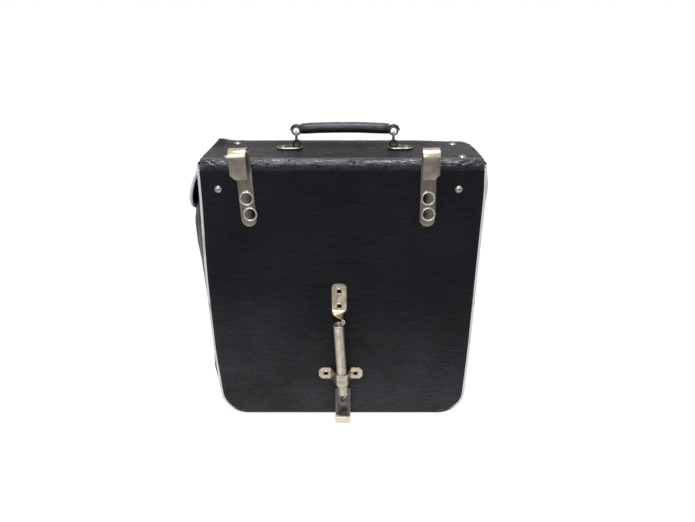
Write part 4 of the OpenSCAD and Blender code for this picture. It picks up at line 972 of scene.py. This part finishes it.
spring_wire, spring_l, spring_turns, coil_r, coil_steps = 1.3, 101.3, 76, 6.15, 16
spring_lean = asin(5.5 / spring_l)
spring_foot = Vector((0.4, -60.8, 42.0))
hole_drop, top_reach, behind, in_hole = 15.5, 4.9, 7.74, 5.69
low_x = -0.4 - sin(spring_lean) * hole_drop
low_hook = [(low_x, behind, 3 - hole_drop), (low_x, behind, 1.2 - hole_drop), (low_x, behind - 0.3, -hole_drop),
            (low_x, in_hole, -0.6 - hole_drop), (low_x + 0.4, in_hole - 1.6, 0.2 - hole_drop),
            (low_x + 2.6, 0.55 * coil_r, -0.62 * hole_drop),
            (0.8 * coil_r, 0.45 * coil_r, -0.26 * hole_drop), (0.98 * coil_r, 0.2 * coil_r, -0.09 * hole_drop)]
coil = [(coil_r * cos(a), -coil_r * sin(a), spring_l * a / (2 * pi * spring_turns))
        for a in [2 * pi * i / coil_steps for i in range(spring_turns * coil_steps + 1)]]
top_hook = [(coil_r + aside, across_r * coil_r, spring_l + rise * top_reach)
            for aside, across_r, rise in (
                (0.1, -0.3, 0.12), (1.1, -0.4, 0.42), (1.8, -0.2, 0.8), (1.2, 0, 1.0),
                (0, 0, 1.1), (-1.6, 0, 1.0), (-2.3, 0, 0.7), (-2.3, 0, 0.4))]
leaned = Matrix.Rotation(-spring_lean, 4, "Y")
spring_path = [tuple(spring_foot + leaned @ Vector(p)) for p in low_hook + coil + top_hook]
spring_steel = metal("spring_steel", (0.56, 0.51, 0.43, 1), (0.40, 0.36, 0.30, 1), 0.3, 0.5)
spring = bar_along("tension_spring_wire", [spring_path], spring_wire, 8, spring_steel)
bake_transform(spring)
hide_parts("tension_spring")

# Handle: a leatherette tube rolled round a steel core, arched a little. Its ends are folded over round eyes,
# and wire links join the eyes to two chapes on the lid.
grip_eye_z, grip_lift, grip_arch, grip_r, grip_eye_r, eye_wire = 362.0, 2.2, 1.6, 6.25, 4.5, 2.5
grip_half, grip_rows, grip_sides, grip_end = link_span / 2 - 5.2, 90, 28, 7
wrap_rows, wrap_sides, wrap_gap = 22, 12, 1.3
core_half = link_span / 2 - grip_eye_r
arch_r = (core_half ** 2 + grip_arch ** 2) / (2 * grip_arch)


def arch_z(x):
    return grip_eye_z + grip_lift + grip_arch - arch_r + sqrt(arch_r ** 2 - (x - handle_x) ** 2)


grip_points = []
for i in range(grip_rows):
    x = handle_x - grip_half + 2 * grip_half * i / (grip_rows - 1)
    end = smooth_step((abs(x - handle_x) - grip_half + grip_end) / grip_end)
    for k in range(grip_sides):
        a = 2 * pi * k / grip_sides
        lump = 1 + 0.03 * noise.noise(Vector((x / 14, 2 * cos(a), 2 * sin(a))))
        wide = grip_r * lump * (1 - 0.30 * end)
        tall = grip_r * lump * (1 - 0.04 * end) * (0.95 if sin(a) < 0 else 1.0)
        grip_points.append((x, handle_y + wide * cos(a), arch_z(x) + tall * sin(a)))
grip_faces = tube_faces(grip_rows, grip_sides)
for side in (-1, 1):
    grip_faces += tube_faces(wrap_rows, wrap_sides, len(grip_points), flip=side > 0)
    for i in range(wrap_rows):
        t = i / (wrap_rows - 1)
        a = radians(-14 + 186 * t)
        thick, wide = 1.25 - 0.5 * t, 3.6 - 0.9 * t
        for k in range(wrap_sides):
            b = 2 * pi * k / wrap_sides
            r = grip_eye_r + wrap_gap + thick + thick * cos(b)
            x = handle_x + side * (link_span / 2 - r * cos(a))
            grip_points.append((x, handle_y + wide * sin(b), grip_eye_z + r * sin(a)))
outward = bmesh.new()
outward.from_mesh(make_mesh("grip", grip_points, grip_faces))
bmesh.ops.recalc_face_normals(outward, faces=outward.faces)
grip_leather = leather("grip_leatherette", (0.009, 0.009, 0.011, 1), (0.018, 0.018, 0.021, 1),
                       (120, 420, 420), 520, 0.34, 0.6, gloss=0.4)
grip = make_piece("grip_wrap", settled_mesh("grip_wrap", outward), grip_leather, sharp=60)
belongs(grip, "handle", "leatherette", "grip_cover")


def oval(r, straight=0.0, count=40):
    """Points round two half circles that stand apart by twice straight."""
    turns = [2 * pi * i / count for i in range(count)]
    return [(copysign(straight, cos(a)) + r * cos(a), r * sin(a)) for a in turns]


ring_nickel = metal("ring_nickel", (0.32, 0.28, 0.22, 1), (0.14, 0.12, 0.09, 1), 0.22, 0.4)
eye_paths = [[(handle_x + side * link_span / 2 + x, handle_y, grip_eye_z + z) for x, z in oval(grip_eye_r)]
             for side in (-1, 1)]
grip_eyes = bar_along("grip_eyes", eye_paths, eye_wire, 14, ring_nickel, closed=True)
belongs(grip_eyes, "handle", "nickel", "handle_core")

link_low, link_high, link_r, link_wire = 348.4, 360.35, 3.2, 2.6
for link_name, side in (("left_link", -1), ("right_link", 1)):
    loop, link_x = [], handle_x + side * link_span / 2
    for start, z in ((pi, link_low + link_r), (0.0, link_high - link_r)):
        for a in [start + pi * i / 16 for i in range(17)]:
            loop.append((link_x, handle_y + link_r * cos(a), z + link_r * sin(a)))
    link = bar_along(link_name + "_wire", [loop], link_wire, 14, ring_nickel, closed=True)
    belongs(link, "links", "nickel", link_name)

# Chapes: two oval plates of tarnished, nickel-plated steel with a raised rim, riveted to the lid.
# Each has an upright eye for its link.
chape_l, chape_w, chape_over, rim_d = 30.0, 18.0, 6.5, 1.6
plate_nickel = metal("plate_nickel", (0.05, 0.042, 0.034, 1), (0.025, 0.02, 0.016, 1), 0.35, 0.55)
# Painted highlight: each rim is painted lighter on its near side.
rim_nickel = metal("rim_nickel", (0.10, 0.085, 0.065, 1), (0.05, 0.042, 0.032, 1), 0.3, 0.45,
                   polished=(0.006, 0.001, (0.46, 0.41, 0.33, 1)))
for chape_name, side in (("left_chape", -1), ("right_chape", 1)):
    eased(chape_name, "plate", plate_nickel, "lid", 0.3)
    middle = handle_x + side * (link_span / 2 + chape_l / 2 - chape_over)
    rim = [(middle + x, handle_y + y, lid_top + 1.5)
           for x, y in oval(chape_w / 2 - rim_d / 2, (chape_l - chape_w) / 2)]
    bead = bar_along(chape_name + "_rim", [rim], rim_d, 10, rim_nickel, closed=True)
    belongs(bead, "lid", "nickel")

# Turn locks: a plated knob on each side of the front passes through an eyelet in the flap and turns across it.
# Its base is held to the front board by two small rivets.
lock_nickel = metal("lock_nickel", (0.44, 0.40, 0.34, 1), (0.28, 0.25, 0.21, 1), 0.22, 0.4)
for lock_name, lock_body, ease in (
        ("left_lock_base", "bag", 0.25), ("right_lock_base", "bag", 0.25),
        ("left_turn_knob", "left_knob", 1.2), ("right_turn_knob", "right_knob", 1.2),
        ("left_lock_eyelet", "flap", 0.45), ("right_lock_eyelet", "flap", 0.45)):
    eased(lock_name, "plated", lock_nickel, lock_body, ease, 4)
pin_profile = [(0.8, -0.2), (1.95, -0.2), (2.0, 0.0), (1.85, 0.3), (1.3, 0.52), (0.7, 0.59), (0.1, 0.6)]
pin_spots = [(side * lock_x + end * 12.0, 46.6, lock_z) for side in (-1, 1) for end in (-1, 1)]
rivets("lock_rivet_heads", pin_profile, pin_spots, FORWARD, lock_nickel, "bag", "lock_base_rivets")
